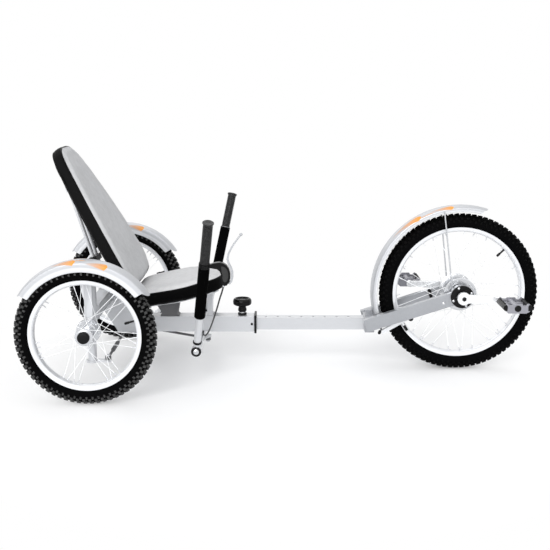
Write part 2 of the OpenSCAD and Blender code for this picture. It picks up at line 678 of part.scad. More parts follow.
main_tube();
tube_collar();
length_knob();
rear_beam();
gusset_plates();
steering_pivot();
seat_pan();
seat_post();
seat_bracket();
seat_pad();
seat_back();
back_hinges();
back_post();
back_strut();
steering_bar();
lever_tubes();
lever_foams();
lever_grips();
brake_lever();
brake_cable();
knuckle_right();
knuckle_left();
rear_fender("right");  // rear_fender_right
rear_fender("left");  // rear_fender_left
tie_rod();
drag_link();
rear_tyre("right");  // rear_tyre_right
rear_rim("right");  // rear_rim_right
rear_hub("right");  // rear_hub_right
rear_spokes("right");  // rear_spokes_right
rear_tyre("left");  // rear_tyre_left
rear_rim("left");  // rear_rim_left
rear_hub("left");  // rear_hub_left
rear_spokes("left");  // rear_spokes_left
boom_tube();
fork();
bearing_plates();
front_brake();
front_fender();
fender_stays();
front_tyre();
front_rim();
front_hub();
front_spokes();
crankset();
pedal("right");  // pedal_right
pedal("left");  // pedal_left
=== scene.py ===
import json
import math

import bmesh
import bpy
import numpy as np
from mathutils import Matrix, Vector

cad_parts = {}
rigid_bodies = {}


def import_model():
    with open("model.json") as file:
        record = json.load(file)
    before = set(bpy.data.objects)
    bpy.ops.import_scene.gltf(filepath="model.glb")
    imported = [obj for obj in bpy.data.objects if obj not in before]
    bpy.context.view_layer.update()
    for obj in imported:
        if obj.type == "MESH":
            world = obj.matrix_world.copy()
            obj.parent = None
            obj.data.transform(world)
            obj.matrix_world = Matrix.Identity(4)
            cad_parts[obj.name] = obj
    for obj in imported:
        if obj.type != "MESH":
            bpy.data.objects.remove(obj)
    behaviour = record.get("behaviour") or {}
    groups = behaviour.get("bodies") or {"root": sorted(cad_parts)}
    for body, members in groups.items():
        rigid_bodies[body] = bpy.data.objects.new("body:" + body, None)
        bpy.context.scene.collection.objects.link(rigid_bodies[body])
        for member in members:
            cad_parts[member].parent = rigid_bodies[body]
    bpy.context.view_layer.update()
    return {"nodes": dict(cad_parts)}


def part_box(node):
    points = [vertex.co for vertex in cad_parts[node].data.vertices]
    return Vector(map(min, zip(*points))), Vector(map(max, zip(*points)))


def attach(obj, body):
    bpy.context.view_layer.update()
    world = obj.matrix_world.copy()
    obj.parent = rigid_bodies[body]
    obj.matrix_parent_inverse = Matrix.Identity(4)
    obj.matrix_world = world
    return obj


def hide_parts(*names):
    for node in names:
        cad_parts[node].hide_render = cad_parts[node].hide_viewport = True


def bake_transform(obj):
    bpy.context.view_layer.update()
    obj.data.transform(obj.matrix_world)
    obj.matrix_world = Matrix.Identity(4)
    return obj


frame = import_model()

MM = 0.001
X, Y, Z = Vector((1, 0, 0)), Vector((0, 1, 0)), Vector((0, 0, 1))
SIDES = ((-1, "right"), (1, "left"))


# ---------------------------------------------------------------- places from the frame

def middle(node):
    low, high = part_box(node)
    return (low + high) / 2


def half_size(node):
    low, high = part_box(node)
    return (high - low) / 2


REAR_RIGHT = middle("rear_tyre_right")
REAR_LEFT = middle("rear_tyre_left")
FRONT = middle("front_tyre")
REAR_R = half_size("rear_tyre_right").z / MM
FRONT_R = half_size("front_tyre").z / MM
REAR_BEAD = half_size("rear_rim_right").z / MM + 0.3
FRONT_BEAD = half_size("front_rim").z / MM + 0.3


def at(x, y, z):
    """A point given in millimetres forward of the rear axle, to the left and above the ground."""
    return Vector((REAR_RIGHT.x + x * MM, y * MM, z * MM))


def body_of(node):
    return frame["nodes"][node].parent.name.removeprefix("body:")


# ---------------------------------------------------------------- nodes

SOCKET_KINDS = {
    "Colour": "NodeSocketColor", "Material": "NodeSocketMaterial", "Geometry": "NodeSocketGeometry",
    "Normal": "NodeSocketVector", "Turn": "NodeSocketVector", "Axle": "NodeSocketVector",
    "Step": "NodeSocketVector", "Count": "NodeSocketInt", "Sides": "NodeSocketInt",
    "Seed": "NodeSocketInt",
}


def new_group(name, kind, inputs, outputs):
    """An empty node group; returns its tree, what its input node gives and its output node."""
    tree = bpy.data.node_groups.new(name, kind)
    for in_out, labels in (("INPUT", inputs), ("OUTPUT", outputs)):
        for label in labels:
            socket_kind = SOCKET_KINDS.get(label, "NodeSocketFloat")
            tree.interface.new_socket(label, in_out=in_out, socket_type=socket_kind)
    return tree, tree.nodes.new("NodeGroupInput").outputs, tree.nodes.new("NodeGroupOutput")


def feed(tree, node, inputs):
    """Gives each input, by name or number, a socket to follow or a plain value."""
    for key, value in inputs.items():
        socket = node.inputs[key]
        if isinstance(value, bpy.types.NodeSocket):
            tree.links.new(value, socket)
        elif socket.type == "RGBA" and len(value) == 3:
            socket.default_value = (*value, 1)
        else:
            socket.default_value = value


def put(tree, kind, inputs=None, **settings):
    """A new node, with its attributes set and its inputs fed."""
    node = tree.nodes.new(kind)
    for key, value in settings.items():
        setattr(node, key, value)
    feed(tree, node, inputs or {})
    return node


def maths(tree, operation, *values, clamp=False):
    """The output of a Math node on sockets and plain numbers."""
    node = put(tree, "ShaderNodeMath", dict(enumerate(values)), operation=operation, use_clamp=clamp)
    return node.outputs[0]


def noise(tree, vector, scale, detail=3.0):
    return put(tree, "ShaderNodeTexNoise", {"Vector": vector, "Scale": scale, "Detail": detail}).outputs[0]


def object_place(tree):
    return put(tree, "ShaderNodeTexCoord").outputs["Object"]


def relief(tree, height):
    """The normal of a relief whose height is in metres."""
    return put(tree, "ShaderNodeBump", {"Strength": 1.0, "Distance": 1.0, "Height": height}).outputs[0]


def mix_colour(tree, factor, a, b):
    return put(tree, "ShaderNodeMix", {0: factor, 6: a, 7: b}, data_type="RGBA").outputs[2]


# ---------------------------------------------------------------- shared shader groups

def make_tone_group():
    """Slow and fine changes of tone, as paint and rubber have."""
    tree, given, out = new_group("tone", "ShaderNodeTree", ("Colour", "Spread", "Scale"), ("Colour",))
    place = object_place(tree)
    slow = noise(tree, place, given["Scale"])
    fine = noise(tree, place, maths(tree, "MULTIPLY", given["Scale"], 23.0))
    both = maths(tree, "MULTIPLY_ADD", fine, 0.4, maths(tree, "MULTIPLY", slow, 0.6))
    shift = maths(tree, "SUBTRACT", both, 0.5)
    value = maths(tree, "MULTIPLY_ADD", shift, maths(tree, "MULTIPLY", given["Spread"], 4.0), 1.0)
    tint = put(tree, "ShaderNodeHueSaturation", {"Color": given["Colour"], "Value": value})
    feed(tree, out, {"Colour": tint.outputs[0]})
    return tree


def make_grain_group():
    """Fine relief, as moulding and paint leave."""
    tree, given, out = new_group("grain", "ShaderNodeTree", ("Scale", "Depth"), ("Normal",))
    height = noise(tree, object_place(tree), given["Scale"], 2.0)
    feed(tree, out, {"Normal": relief(tree, maths(tree, "MULTIPLY", height, given["Depth"]))})
    return tree


def make_wear_group():
    """Roughness that changes with handling: smudges and a few fine scratches."""
    tree, given, out = new_group("wear", "ShaderNodeTree", ("Roughness", "Amount"), ("Roughness",))
    smudge_scale, scratch_scale = 14.0, 126.0
    place = object_place(tree)
    smudge = noise(tree, place, smudge_scale, 4.0)
    drawn_out = put(tree, "ShaderNodeMapping", {
        "Rotation": (0.4, 0.7, 0.2), "Scale": (1.0, 14.0, 1.0), "Vector": place})
    scratch = noise(tree, drawn_out.outputs[0], scratch_scale, 1.0)
    marks = maths(tree, "GREATER_THAN", scratch, 0.68)
    level = maths(tree, "MULTIPLY_ADD", marks, 0.35, maths(tree, "SUBTRACT", smudge, 0.5))
    spread = maths(tree, "MULTIPLY", given["Amount"], 2.0)
    rough = maths(tree, "MULTIPLY_ADD", level, spread, given["Roughness"], clamp=True)
    feed(tree, out, {"Roughness": rough})
    return tree


def make_weave_group():
    """Threads crossing over and under, in the plane that Turn lays flat; their colour has slub tone and a
    little painted shade where a thread dips.
    """
    tree, given, out = new_group(
        "weave", "ShaderNodeTree", ("Threads", "Depth", "Turn", "Colour"), ("Colour", "Normal"))
    flat = put(tree, "ShaderNodeVectorRotate", rotation_type="EULER_XYZ")
    feed(tree, flat, {"Vector": object_place(tree), "Rotation": given["Turn"]})
    axes = put(tree, "ShaderNodeSeparateXYZ", {0: flat.outputs[0]}).outputs
    pitch = maths(tree, "MULTIPLY", given["Threads"], math.tau)
    waves = [maths(tree, "SINE", maths(tree, "MULTIPLY", axis, pitch)) for axis in axes]
    crossing = maths(tree, "MULTIPLY", waves[0], waves[1])
    height = maths(tree, "MULTIPLY_ADD", waves[2], 0.4, crossing)
    slub = noise(tree, flat.outputs[0], 60.0, 4.0)
    uneven = maths(tree, "MULTIPLY_ADD", slub, 0.8, height)
    # Painted shade: a thread that lies low is a little darker; the slub noise is random yarn tone.
    level = maths(tree, "MULTIPLY_ADD", height, 0.05, maths(tree, "MULTIPLY_ADD", slub, 0.24, 0.88))
    slub_tone_and_dip_shade = put(tree, "ShaderNodeHueSaturation", {"Color": given["Colour"], "Value": level})
    normal = relief(tree, maths(tree, "MULTIPLY", uneven, given["Depth"]))
    feed(tree, out, {"Normal": normal, "Colour": slub_tone_and_dip_shade.outputs[0]})
    return tree


def make_stroke_group():
    """One tapered stroke of paint round a fender: blunt in front, thinning towards its tail."""
    tree, given, out = new_group(
        "stroke", "ShaderNodeTree", ("Angle", "Across", "Start", "Length", "Middle", "Drift", "Width"),
        ("Mask", "Along"))
    gone = maths(tree, "SUBTRACT", given["Angle"], given["Start"])
    along = maths(tree, "DIVIDE", gone, given["Length"])
    left = maths(tree, "SUBTRACT", 1.0, along, clamp=True)
    front = maths(tree, "MULTIPLY", along, 9.0, clamp=True)
    width = maths(tree, "MULTIPLY", given["Width"], maths(tree, "POWER", left, 0.75))
    width = maths(tree, "MULTIPLY", width, maths(tree, "POWER", front, 0.6))
    centre = maths(tree, "MULTIPLY_ADD", along, given["Drift"], given["Middle"])
    off = maths(tree, "ABSOLUTE", maths(tree, "SUBTRACT", given["Across"], centre))
    inside = maths(tree, "MULTIPLY", maths(tree, "SUBTRACT", width, off), 0.5, clamp=True)
    inside = maths(tree, "MULTIPLY", inside, maths(tree, "MULTIPLY_ADD", left, 0.75, 0.25))
    feed(tree, out, {"Mask": inside, "Along": maths(tree, "MULTIPLY", along, 1.0, clamp=True)})
    return tree


TONE = make_tone_group()
GRAIN = make_grain_group()
WEAR = make_wear_group()
WEAVE = make_weave_group()
STROKE = make_stroke_group()


# ---------------------------------------------------------------- materials

def grouped(tree, group, **inputs):
    """The outputs of a shared shader group."""
    return put(tree, "ShaderNodeGroup", inputs, node_tree=group).outputs


def new_material(name, colour):
    """A material with its tree and its shader node."""
    material = bpy.data.materials.new(name)
    material.use_nodes = True
    material.diffuse_color = (*colour, 1)
    return material, material.node_tree, material.node_tree.nodes["Principled BSDF"]


def finish(name, colour, rough, metal=0.0, spread=0.04, tone_scale=9.0, wear=0.06, grain=900.0,
           depth=0.00002, specular=0.5, coat=0.0, coat_rough=0.03):
    """A surface of one colour with its tone, wear and grain. Returns the material."""
    material, tree, shader = new_material(name, colour)
    feed(tree, shader, {
        "Base Color": grouped(tree, TONE, Colour=colour, Spread=spread, Scale=tone_scale)[0],
        "Roughness": grouped(tree, WEAR, Roughness=rough, Amount=wear)[0],
        "Normal": grouped(tree, GRAIN, Scale=grain, Depth=depth)[0],
        "Metallic": metal, "Specular IOR Level": specular, "Coat Weight": coat, "Coat Roughness": coat_rough})
    return material


def cover_cloth(name, face, band, normal, level):
    """Woven cover: pale on its face, dark below the seam that lies level metres along the normal."""
    material, tree, shader = new_material(name, face)
    height = put(tree, "ShaderNodeVectorMath", {0: object_place(tree), 1: normal}, operation="DOT_PRODUCT")
    above = maths(tree, "SUBTRACT", height.outputs["Value"], level)
    above = maths(tree, "MULTIPLY", above, 2500.0, clamp=True)
    colour = mix_colour(tree, above, band, face)
    colour = grouped(tree, TONE, Colour=colour, Spread=0.035, Scale=16.0)[0]
    turn = tuple(normal.rotation_difference(Z).to_euler("XYZ"))
    weave = grouped(tree, WEAVE, Colour=colour, Threads=420.0, Depth=0.00012, Turn=turn)
    rough = maths(tree, "MULTIPLY_ADD", above, 0.3, 0.55)
    feed(tree, shader, {
        "Base Color": weave["Colour"], "Normal": weave["Normal"],
        "Roughness": grouped(tree, WEAR, Roughness=rough, Amount=0.05)[0],
        "Sheen Weight": 0.008, "Specular IOR Level": 0.02})
    return material


def fender_finish(name, axle, radius, strokes, lip):
    """Silver paint with orange strokes, each (start, length, middle, drift, half width); paler past lip, a
    painted highlight.
    """
    metal = 0.55
    material = finish(name, (0.50, 0.51, 0.53), 0.40, metal, spread=0.03, wear=0.05, specular=0.25)
    tree = material.node_tree
    shader = tree.nodes["Principled BSDF"]
    centred = put(tree, "ShaderNodeMapping", {"Location": -axle, "Vector": object_place(tree)})
    x, y, z = put(tree, "ShaderNodeSeparateXYZ", {0: centred.outputs[0]}).outputs
    angle = maths(tree, "DEGREES", maths(tree, "ARCTAN2", z, x))
    squares = maths(tree, "MULTIPLY_ADD", z, z, maths(tree, "MULTIPLY", x, x))
    away = maths(tree, "MULTIPLY", maths(tree, "SQRT", squares), 1 / MM)
    dip = maths(tree, "SUBTRACT", radius, away)
    across = maths(tree, "MULTIPLY_ADD", maths(tree, "ABSOLUTE", y), 1 / MM, dip)
    colour = shader.inputs["Base Color"].links[0].from_socket
    rough = shader.inputs["Roughness"].links[0].from_socket
    # Painted highlight: the paint turns paler past lip millimetres across, on the rolled lip that faces the
    # key light.
    painted_lip_highlight = maths(tree, "MULTIPLY", maths(tree, "SUBTRACT", across, lip), 0.2, clamp=True)
    colour = mix_colour(tree, painted_lip_highlight, colour, (0.72, 0.73, 0.75))
    for start, length, mid, drift, width in strokes:
        stroke = grouped(tree, STROKE, Angle=angle, Across=across, Start=start, Length=length,
                         Middle=mid, Drift=drift, Width=width)
        fade = mix_colour(tree, stroke["Along"], (0.88, 0.33, 0.02), (0.50, 0.24, 0.12))
        colour = mix_colour(tree, stroke["Mask"], colour, fade)
        metal = maths(tree, "SUBTRACT", metal, stroke["Mask"], clamp=True)
        rough = maths(tree, "MULTIPLY_ADD", stroke["Mask"], 0.12, rough, clamp=True)
    feed(tree, shader, {"Base Color": colour, "Metallic": metal, "Roughness": rough})
    return material


# ---------------------------------------------------------------- mesh tools

def merged(node):
    """A CAD node's triangles as one welded bmesh with its flat faces whole."""
    bm = bmesh.new()
    bm.from_mesh(frame["nodes"][node].data)
    bmesh.ops.remove_doubles(bm, verts=bm.verts, dist=0.00002)
    bmesh.ops.dissolve_limit(bm, angle_limit=math.radians(0.6), verts=bm.verts, edges=bm.edges)
    bm.normal_update()
    return bm


def shown(name, source, material, body, slot, stands_for=(), smooth=38.0, bevel=0.0, tidy=True):
    """Turns a bmesh or mesh into a piece of the trike that rides on its body."""
    if isinstance(source, bmesh.types.BMesh):
        if tidy:
            bmesh.ops.remove_doubles(source, verts=source.verts, dist=0.00001)
            bmesh.ops.recalc_face_normals(source, faces=source.faces)
        mesh = bpy.data.meshes.new(name)
        source.to_mesh(mesh)
        source.free()
    else:
        mesh = source
        mesh.name = name
        mesh.materials.clear()
    mesh.polygons.foreach_set("use_smooth", [True] * len(mesh.polygons))
    mesh.set_sharp_from_angle(angle=math.radians(smooth))
    materials = material if isinstance(material, (list, tuple)) else [material]
    for one in materials:
        mesh.materials.append(one)
    obj = bpy.data.objects.new(name, mesh)
    bpy.context.scene.collection.objects.link(obj)
    if bevel:
        edge = obj.modifiers.new("edges", "BEVEL")
        edge.width = bevel * MM
        edge.segments = 2
        edge.limit_method = "ANGLE"
        edge.angle_limit = math.radians(40)
        edge.harden_normals = True
    if body:
        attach(obj, body)
    if stands_for:
        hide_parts(*stands_for)
    return obj


def softened(node, material, slot, bevel, pick=None):
    """The CAD piece with its edges broken; pick chooses between two materials by a face's middle."""
    bm = merged(node)
    if pick:
        for face in bm.faces:
            face.material_index = pick(face.calc_center_median())
    return shown(f"{node}_body", bm, material, body_of(node), slot, (node,), bevel=bevel, tidy=False)


def frame_at(origin, z_axis, x_hint=X):
    """A matrix with its Z along z_axis."""
    z_axis = z_axis.normalized()
    x_axis = x_hint - x_hint.dot(z_axis) * z_axis
    if x_axis.length < 1e-6:
        x_axis = Y - Y.dot(z_axis) * z_axis
    x_axis.normalize()
    y_axis = z_axis.cross(x_axis)
    turn = Matrix((x_axis, y_axis, z_axis)).transposed().to_4x4()
    return Matrix.Translation(origin) @ turn


def lathe(bm, profile, matrix, segments, closed=False):
    """Turns (height, radius) points in millimetres about the matrix's Z. closed joins last to first."""
    rings = []
    for height, radius in profile:
        if radius <= 1e-6:
            rings.append([bm.verts.new(matrix @ Vector((0, 0, height * MM)))])
            continue
        ring = []
        for i in range(segments):
            a = math.tau * i / segments
            ring.append(bm.verts.new(
                matrix @ Vector((radius * MM * math.cos(a), radius * MM * math.sin(a), height * MM))))
        rings.append(ring)
    pairs = list(zip(rings, rings[1:]))
    if closed:
        pairs.append((rings[-1], rings[0]))
    for low, high in pairs:
        for i in range(segments):
            j = (i + 1) % segments
            if len(low) == 1 and len(high) == 1:
                break
            if len(low) == 1:
                bm.faces.new((low[0], high[j], high[i]))
            elif len(high) == 1:
                bm.faces.new((low[i], low[j], high[0]))
            else:
                bm.faces.new((low[i], low[j], high[j], high[i]))
    if not closed:
        for ring in (rings[0], rings[-1]):
            if len(ring) > 1:
                bm.faces.new(ring)


def prism(bm, outline, low, high, matrix, taper=1.0):
    """A closed prism from an outline in the matrix's XY plane, all in millimetres."""
    bottom = [bm.verts.new(matrix @ Vector((x * MM, y * MM, low * MM))) for x, y in outline]
    top = [bm.verts.new(matrix @ Vector((x * MM * taper, y * MM * taper, high * MM))) for x, y in outline]
    count = len(outline)
    for i in range(count):
        j = (i + 1) % count
        bm.faces.new((bottom[i], bottom[j], top[j], top[i]))
    bm.faces.new(bottom)
    bm.faces.new(top)


def mirrored(half):
    """The second half of a profile that is the same on both sides."""
    return [(-height, radius) for height, radius in reversed(half)]


def turned(name, profile, base, segments, material, body, slot, closed=False, **looks):
    """A piece that is one turned profile."""
    bm = bmesh.new()
    lathe(bm, profile, base, segments, closed)
    return shown(name, bm, material, body, slot, **looks)


def pressed(name, outline, low, high, base, material, body, slot, bevel):
    """A piece that is one prism."""
    bm = bmesh.new()
    prism(bm, outline, low, high, base)
    return shown(name, bm, material, body, slot, bevel=bevel)


def hexagon(radius):
    """The corners of a hexagon, in millimetres."""
    turns = [math.tau * i / 6 for i in range(6)]
    return [(radius * math.cos(turn), radius * math.sin(turn)) for turn in turns]


def hex_bolt(bm, origin, out, across, height, washer=True):
    """A hexagon head on its washer, standing out from origin."""
    base = frame_at(origin, out)
    lift = 0.0
    if washer:
        lathe(bm, [(0, across * 0.9), (1.2, across * 0.9), (1.4, across * 0.82)], base, 24)
        lift = 1.3
    radius = across / math.sqrt(3)
    prism(bm, hexagon(radius), lift, lift + height * 0.8, base)
    lathe(bm, [(lift + height * 0.8, radius * 0.97), (lift + height, radius * 0.82)], base, 24)


def dome_screw(bm, origin, out, radius, height):
    """A button head with its hexagon socket."""
    base = frame_at(origin, out)
    profile = [(0, radius)]
    for a in (15, 35, 55, 70):
        profile.append((height * math.sin(math.radians(a)), radius * math.cos(math.radians(a))))
    top, rim = profile[-1]
    profile += [(top, rim * 0.98), (top - height * 0.6, rim * 0.9), (top - height * 0.6, 0)]
    lathe(bm, profile, base, 24)


def smooth_path(points, steps):
    """A Catmull-Rom curve through the points."""
    ends = [points[0] * 2 - points[1], *points, points[-1] * 2 - points[-2]]
    path = []
    for a, b, c, d in zip(ends, ends[1:], ends[2:], ends[3:]):
        for i in range(steps):
            t = i / steps
            path.append(0.5 * (2 * b + (c - a) * t + (2 * a - 5 * b + 4 * c - d) * t * t
                               + (3 * b - a - 3 * c + d) * t ** 3))
    path.append(points[-1].copy())
    return path


def paths_mesh(paths, closed=False):
    """Polylines as loose edges, for the trees that follow a path."""
    mesh = bpy.data.meshes.new("paths")
    points, edges = [], []
    for path in paths:
        first = len(points)
        points += [tuple(p) for p in path]
        edges += [(first + i, first + i + 1) for i in range(len(path) - 1)]
        if closed:
            edges.append((len(points) - 1, first))
    mesh.from_pydata(points, edges, [])
    return mesh


# ---------------------------------------------------------------- Geometry Nodes trees

def geometry_tree(name, *inputs):
    """An empty Geometry Nodes tree with a geometry input, the named ones and a material."""
    return new_group(name, "GeometryNodeTree", ("Geometry", *inputs, "Material"), ("Geometry",))


def end_tree(tree, given, out, geometry):
    """Realizes what the tree made and gives it its material."""
    real = put(tree, "GeometryNodeRealizeInstances", {0: geometry})
    painted = put(tree, "GeometryNodeSetMaterial", {
        "Geometry": real.outputs[0], "Material": given["Material"]})
    feed(tree, out, {0: painted.outputs[0]})
    return tree


def copies_on(tree, points, shape, **more):
    """Copies of a shape on points."""
    inputs = {"Points": points.outputs[0], "Instance": shape, **more}
    return put(tree, "GeometryNodeInstanceOnPoints", inputs).outputs[0]


def make_ring_tree():
    """Repeats a shape drawn about the origin around the Y axis, then moves the ring to its axle."""
    tree, given, out = geometry_tree("ring_about_axle", "Count", "Phase", "Axle")
    points = put(tree, "GeometryNodePoints", {"Count": given["Count"]})
    index = put(tree, "GeometryNodeInputIndex").outputs[0]
    step = maths(tree, "DIVIDE", math.tau, given["Count"])
    angle = maths(tree, "MULTIPLY_ADD", index, step, given["Phase"])
    euler = put(tree, "ShaderNodeCombineXYZ", {"Y": angle})
    turn = put(tree, "FunctionNodeEulerToRotation", {0: euler.outputs[0]})
    ring = copies_on(tree, points, given["Geometry"], Rotation=turn.outputs[0])
    real = put(tree, "GeometryNodeRealizeInstances", {0: ring})
    moved = put(tree, "GeometryNodeTransform", {"Geometry": real.outputs[0], "Translation": given["Axle"]})
    return end_tree(tree, given, out, moved.outputs[0])


def make_row_tree():
    """Repeats a shape along a straight line."""
    tree, given, out = geometry_tree("row_along_line", "Count", "Step")
    index = put(tree, "GeometryNodeInputIndex").outputs[0]
    place = put(tree, "ShaderNodeVectorMath", operation="SCALE")
    feed(tree, place, {0: given["Step"], "Scale": index})
    points = put(tree, "GeometryNodePoints", {"Count": given["Count"], "Position": place.outputs[0]})
    return end_tree(tree, given, out, copies_on(tree, points, given["Geometry"]))


def make_rod_tree():
    """Round rods along every path, with closed ends."""
    tree, given, out = geometry_tree("rods_on_paths", "Radius", "Sides")
    curve = put(tree, "GeometryNodeMeshToCurve", {0: given["Geometry"]})
    circle = put(tree, "GeometryNodeCurvePrimitiveCircle")
    feed(tree, circle, {"Resolution": given["Sides"], "Radius": given["Radius"]})
    rods_on = put(tree, "GeometryNodeCurveToMesh", {
        "Fill Caps": True, "Curve": curve.outputs[0], "Profile Curve": circle.outputs[0]})
    return end_tree(tree, given, out, rods_on.outputs[0])


def make_bead_tree():
    """Overlapping beads along every path, as a weld leaves them."""
    tree, given, out = geometry_tree("weld_on_paths", "Radius", "Pitch", "Seed")
    curve = put(tree, "GeometryNodeMeshToCurve", {0: given["Geometry"]})
    spaced = put(tree, "GeometryNodeResampleCurve", mode="LENGTH")
    feed(tree, spaced, {"Curve": curve.outputs[0], "Length": given["Pitch"]})
    bead = put(tree, "GeometryNodeMeshIcoSphere", {"Subdivisions": 2, "Radius": given["Radius"]})
    smallest, largest = 0.82, 1.12
    size = put(tree, "FunctionNodeRandomValue", data_type="FLOAT")
    feed(tree, size, {2: smallest, 3: largest, "Seed": given["Seed"]})
    beads = copies_on(tree, spaced, bead.outputs[0], Scale=size.outputs[1])
    return end_tree(tree, given, out, beads)


RING = make_ring_tree()
ROW = make_row_tree()
RODS = make_rod_tree()
WELD = make_bead_tree()


def grown(source, tree, material, **values):
    """Runs a mesh or bmesh through a tree and returns the plain mesh that it makes."""
    mesh = source
    if isinstance(source, bmesh.types.BMesh):
        mesh = bpy.data.meshes.new("seed")
        bmesh.ops.recalc_face_normals(source, faces=source.faces)
        source.to_mesh(mesh)
        source.free()
    seed = bpy.data.objects.new("seed", mesh)
    bpy.context.scene.collection.objects.link(seed)
    growth = seed.modifiers.new("growth", "NODES")
    growth.node_group = tree
    values["Material"] = material
    for item in tree.interface.items_tree:
        if item.item_type == "SOCKET" and item.in_out == "INPUT" and item.name in values:
            growth[item.identifier] = values[item.name]
    depsgraph = bpy.context.evaluated_depsgraph_get()
    result = bpy.data.meshes.new_from_object(seed.evaluated_get(depsgraph), depsgraph=depsgraph)
    seed.modifiers.clear()
    bpy.data.objects.remove(seed)
    return result


def together(meshes):
    """Several plain meshes as one bmesh."""
    bm = bmesh.new()
    for mesh in meshes:
        bm.from_mesh(mesh)
    return bm


def rods(name, paths, radius, sides, material, body, slot, closed=False, **looks):
    """Round rods along the paths."""
    mesh = grown(paths_mesh(paths, closed), RODS, material, Radius=radius * MM, Sides=sides)
    return shown(name, together([mesh]), material, body, slot, **looks)


def ring_of(name, seed, material, body, slot, count, phase, axle, **looks):
    """Copies of a small shape around an axle."""
    ring = grown(seed, RING, material, Count=count, Phase=phase, Axle=axle)
    return shown(name, ring, material, body, slot, **looks)


# ---------------------------------------------------------------- the finishes of this trike

def paint(name, colour, rough, spread, coat, coat_rough):
    """Silver paint under a clear coat."""
    return finish(name, colour, rough, metal=0.45, spread=spread, depth=0.00001, coat=coat,
                  coat_rough=coat_rough)


FRAME_PAINT = paint("frame_paint", (0.53, 0.54, 0.56), 0.34, 0.03, 0.35, 0.18)
# Painted shade: the frame's silver paint made darker for the fork.
FORK_PAINT_PAINTED_SHADE = paint("fork_paint", (0.33, 0.34, 0.36), 0.36, 0.06, 0.3, 0.2)
# Painted light: the frame's silver paint made lighter for the lever tubes, knuckles and back strut.
FRAME_PAINT_PAINTED_LIGHT = paint("bright_paint", (0.60, 0.61, 0.63), 0.32, 0.03, 0.35, 0.18)
TYRE_RUBBER = finish("tyre_rubber", (0.0022, 0.0022, 0.0024), 0.7, spread=0.14, tone_scale=20.0,
                     wear=0.12, grain=1400.0, depth=0.00008, specular=0.015)
# Painted highlight: the rear tread blocks are the tyre's black rubber made lighter, with strong random
# speckle.
REAR_TREAD_PAINTED_HIGHLIGHT = finish("rear_tread", (0.038, 0.038, 0.038), 0.5, spread=1.0, tone_scale=120.0,
                    wear=0.2, grain=1400.0, depth=0.0001, specular=0.3)
FRONT_TREAD = finish("front_tread", (0.003, 0.003, 0.003), 0.6, spread=0.5, tone_scale=60.0,
                     wear=0.16, grain=1400.0, depth=0.0001, specular=0.03)
RIM_ALLOY = finish("rim_alloy", (0.77, 0.78, 0.80), 0.3, metal=0.5, spread=0.02, grain=500.0,
                   depth=0.00001)
SPOKE_STEEL = finish("spoke_steel", (0.93, 0.94, 0.95), 0.35, metal=0.1, spread=0.02)
NIPPLE_PLATE = finish("nipple_plate", (0.66, 0.67, 0.69), 0.3, metal=0.4)
HUB_ALLOY = finish("hub_alloy", (0.60, 0.61, 0.63), 0.24, metal=0.85, spread=0.05)
CRANK_ALLOY = finish("crank_alloy", (0.88, 0.89, 0.90), 0.28, metal=0.5, spread=0.03, grain=700.0)
PEDAL_ALLOY = finish("pedal_alloy", (0.30, 0.30, 0.33), 0.32, metal=0.6, spread=0.05)
BLADE_STEEL = finish("blade_steel", (0.42, 0.43, 0.45), 0.4, metal=0.4, spread=0.1)
ZINC = finish("zinc_steel", (0.55, 0.56, 0.58), 0.34, metal=0.85, spread=0.05, tone_scale=30.0)
BLACK_PLASTIC = finish("black_plastic", (0.004, 0.004, 0.0042), 0.36, spread=0.08, wear=0.1,
                       grain=1600.0, depth=0.00004, specular=0.16)
BLACK_STEEL = finish("black_steel", (0.010, 0.010, 0.011), 0.40, metal=0.15, spread=0.08, specular=0.2)
FOAM = finish("foam_sleeve", (0.0012, 0.0012, 0.0013), 0.95, spread=0.1, wear=0.03, grain=1500.0,
              depth=0.00025, specular=0.02)
GLOSS_BLACK = finish("gloss_black", (0.002, 0.002, 0.0022), 0.2, spread=0.06, specular=0.16)
# Painted glints: strong random light speckle on the dark rubber stands in for highlights on its ribs.
GRIP_RUBBER_PAINTED_GLINTS = finish("grip_rubber", (0.010, 0.010, 0.0105), 0.4, spread=1.0, tone_scale=230.0, wear=0.2,
                     grain=260.0, depth=0.0022, specular=0.36)
CABLE_SHEATH = finish("cable_sheath", (0.012, 0.012, 0.013), 0.35, spread=0.05)
SLEEVE_BLACK = finish("cover_black", (0.030, 0.030, 0.030), 0.45, spread=0.3, specular=0.2)
SLEEVE_GREY = finish("sleeve_grey", (0.11, 0.11, 0.115), 0.5, metal=0.3, spread=0.08)
PIPING_VINYL = finish("piping_vinyl", (0.0015, 0.0015, 0.0016), 0.4, spread=0.06, specular=0.08)


# ---------------------------------------------------------------- wheels

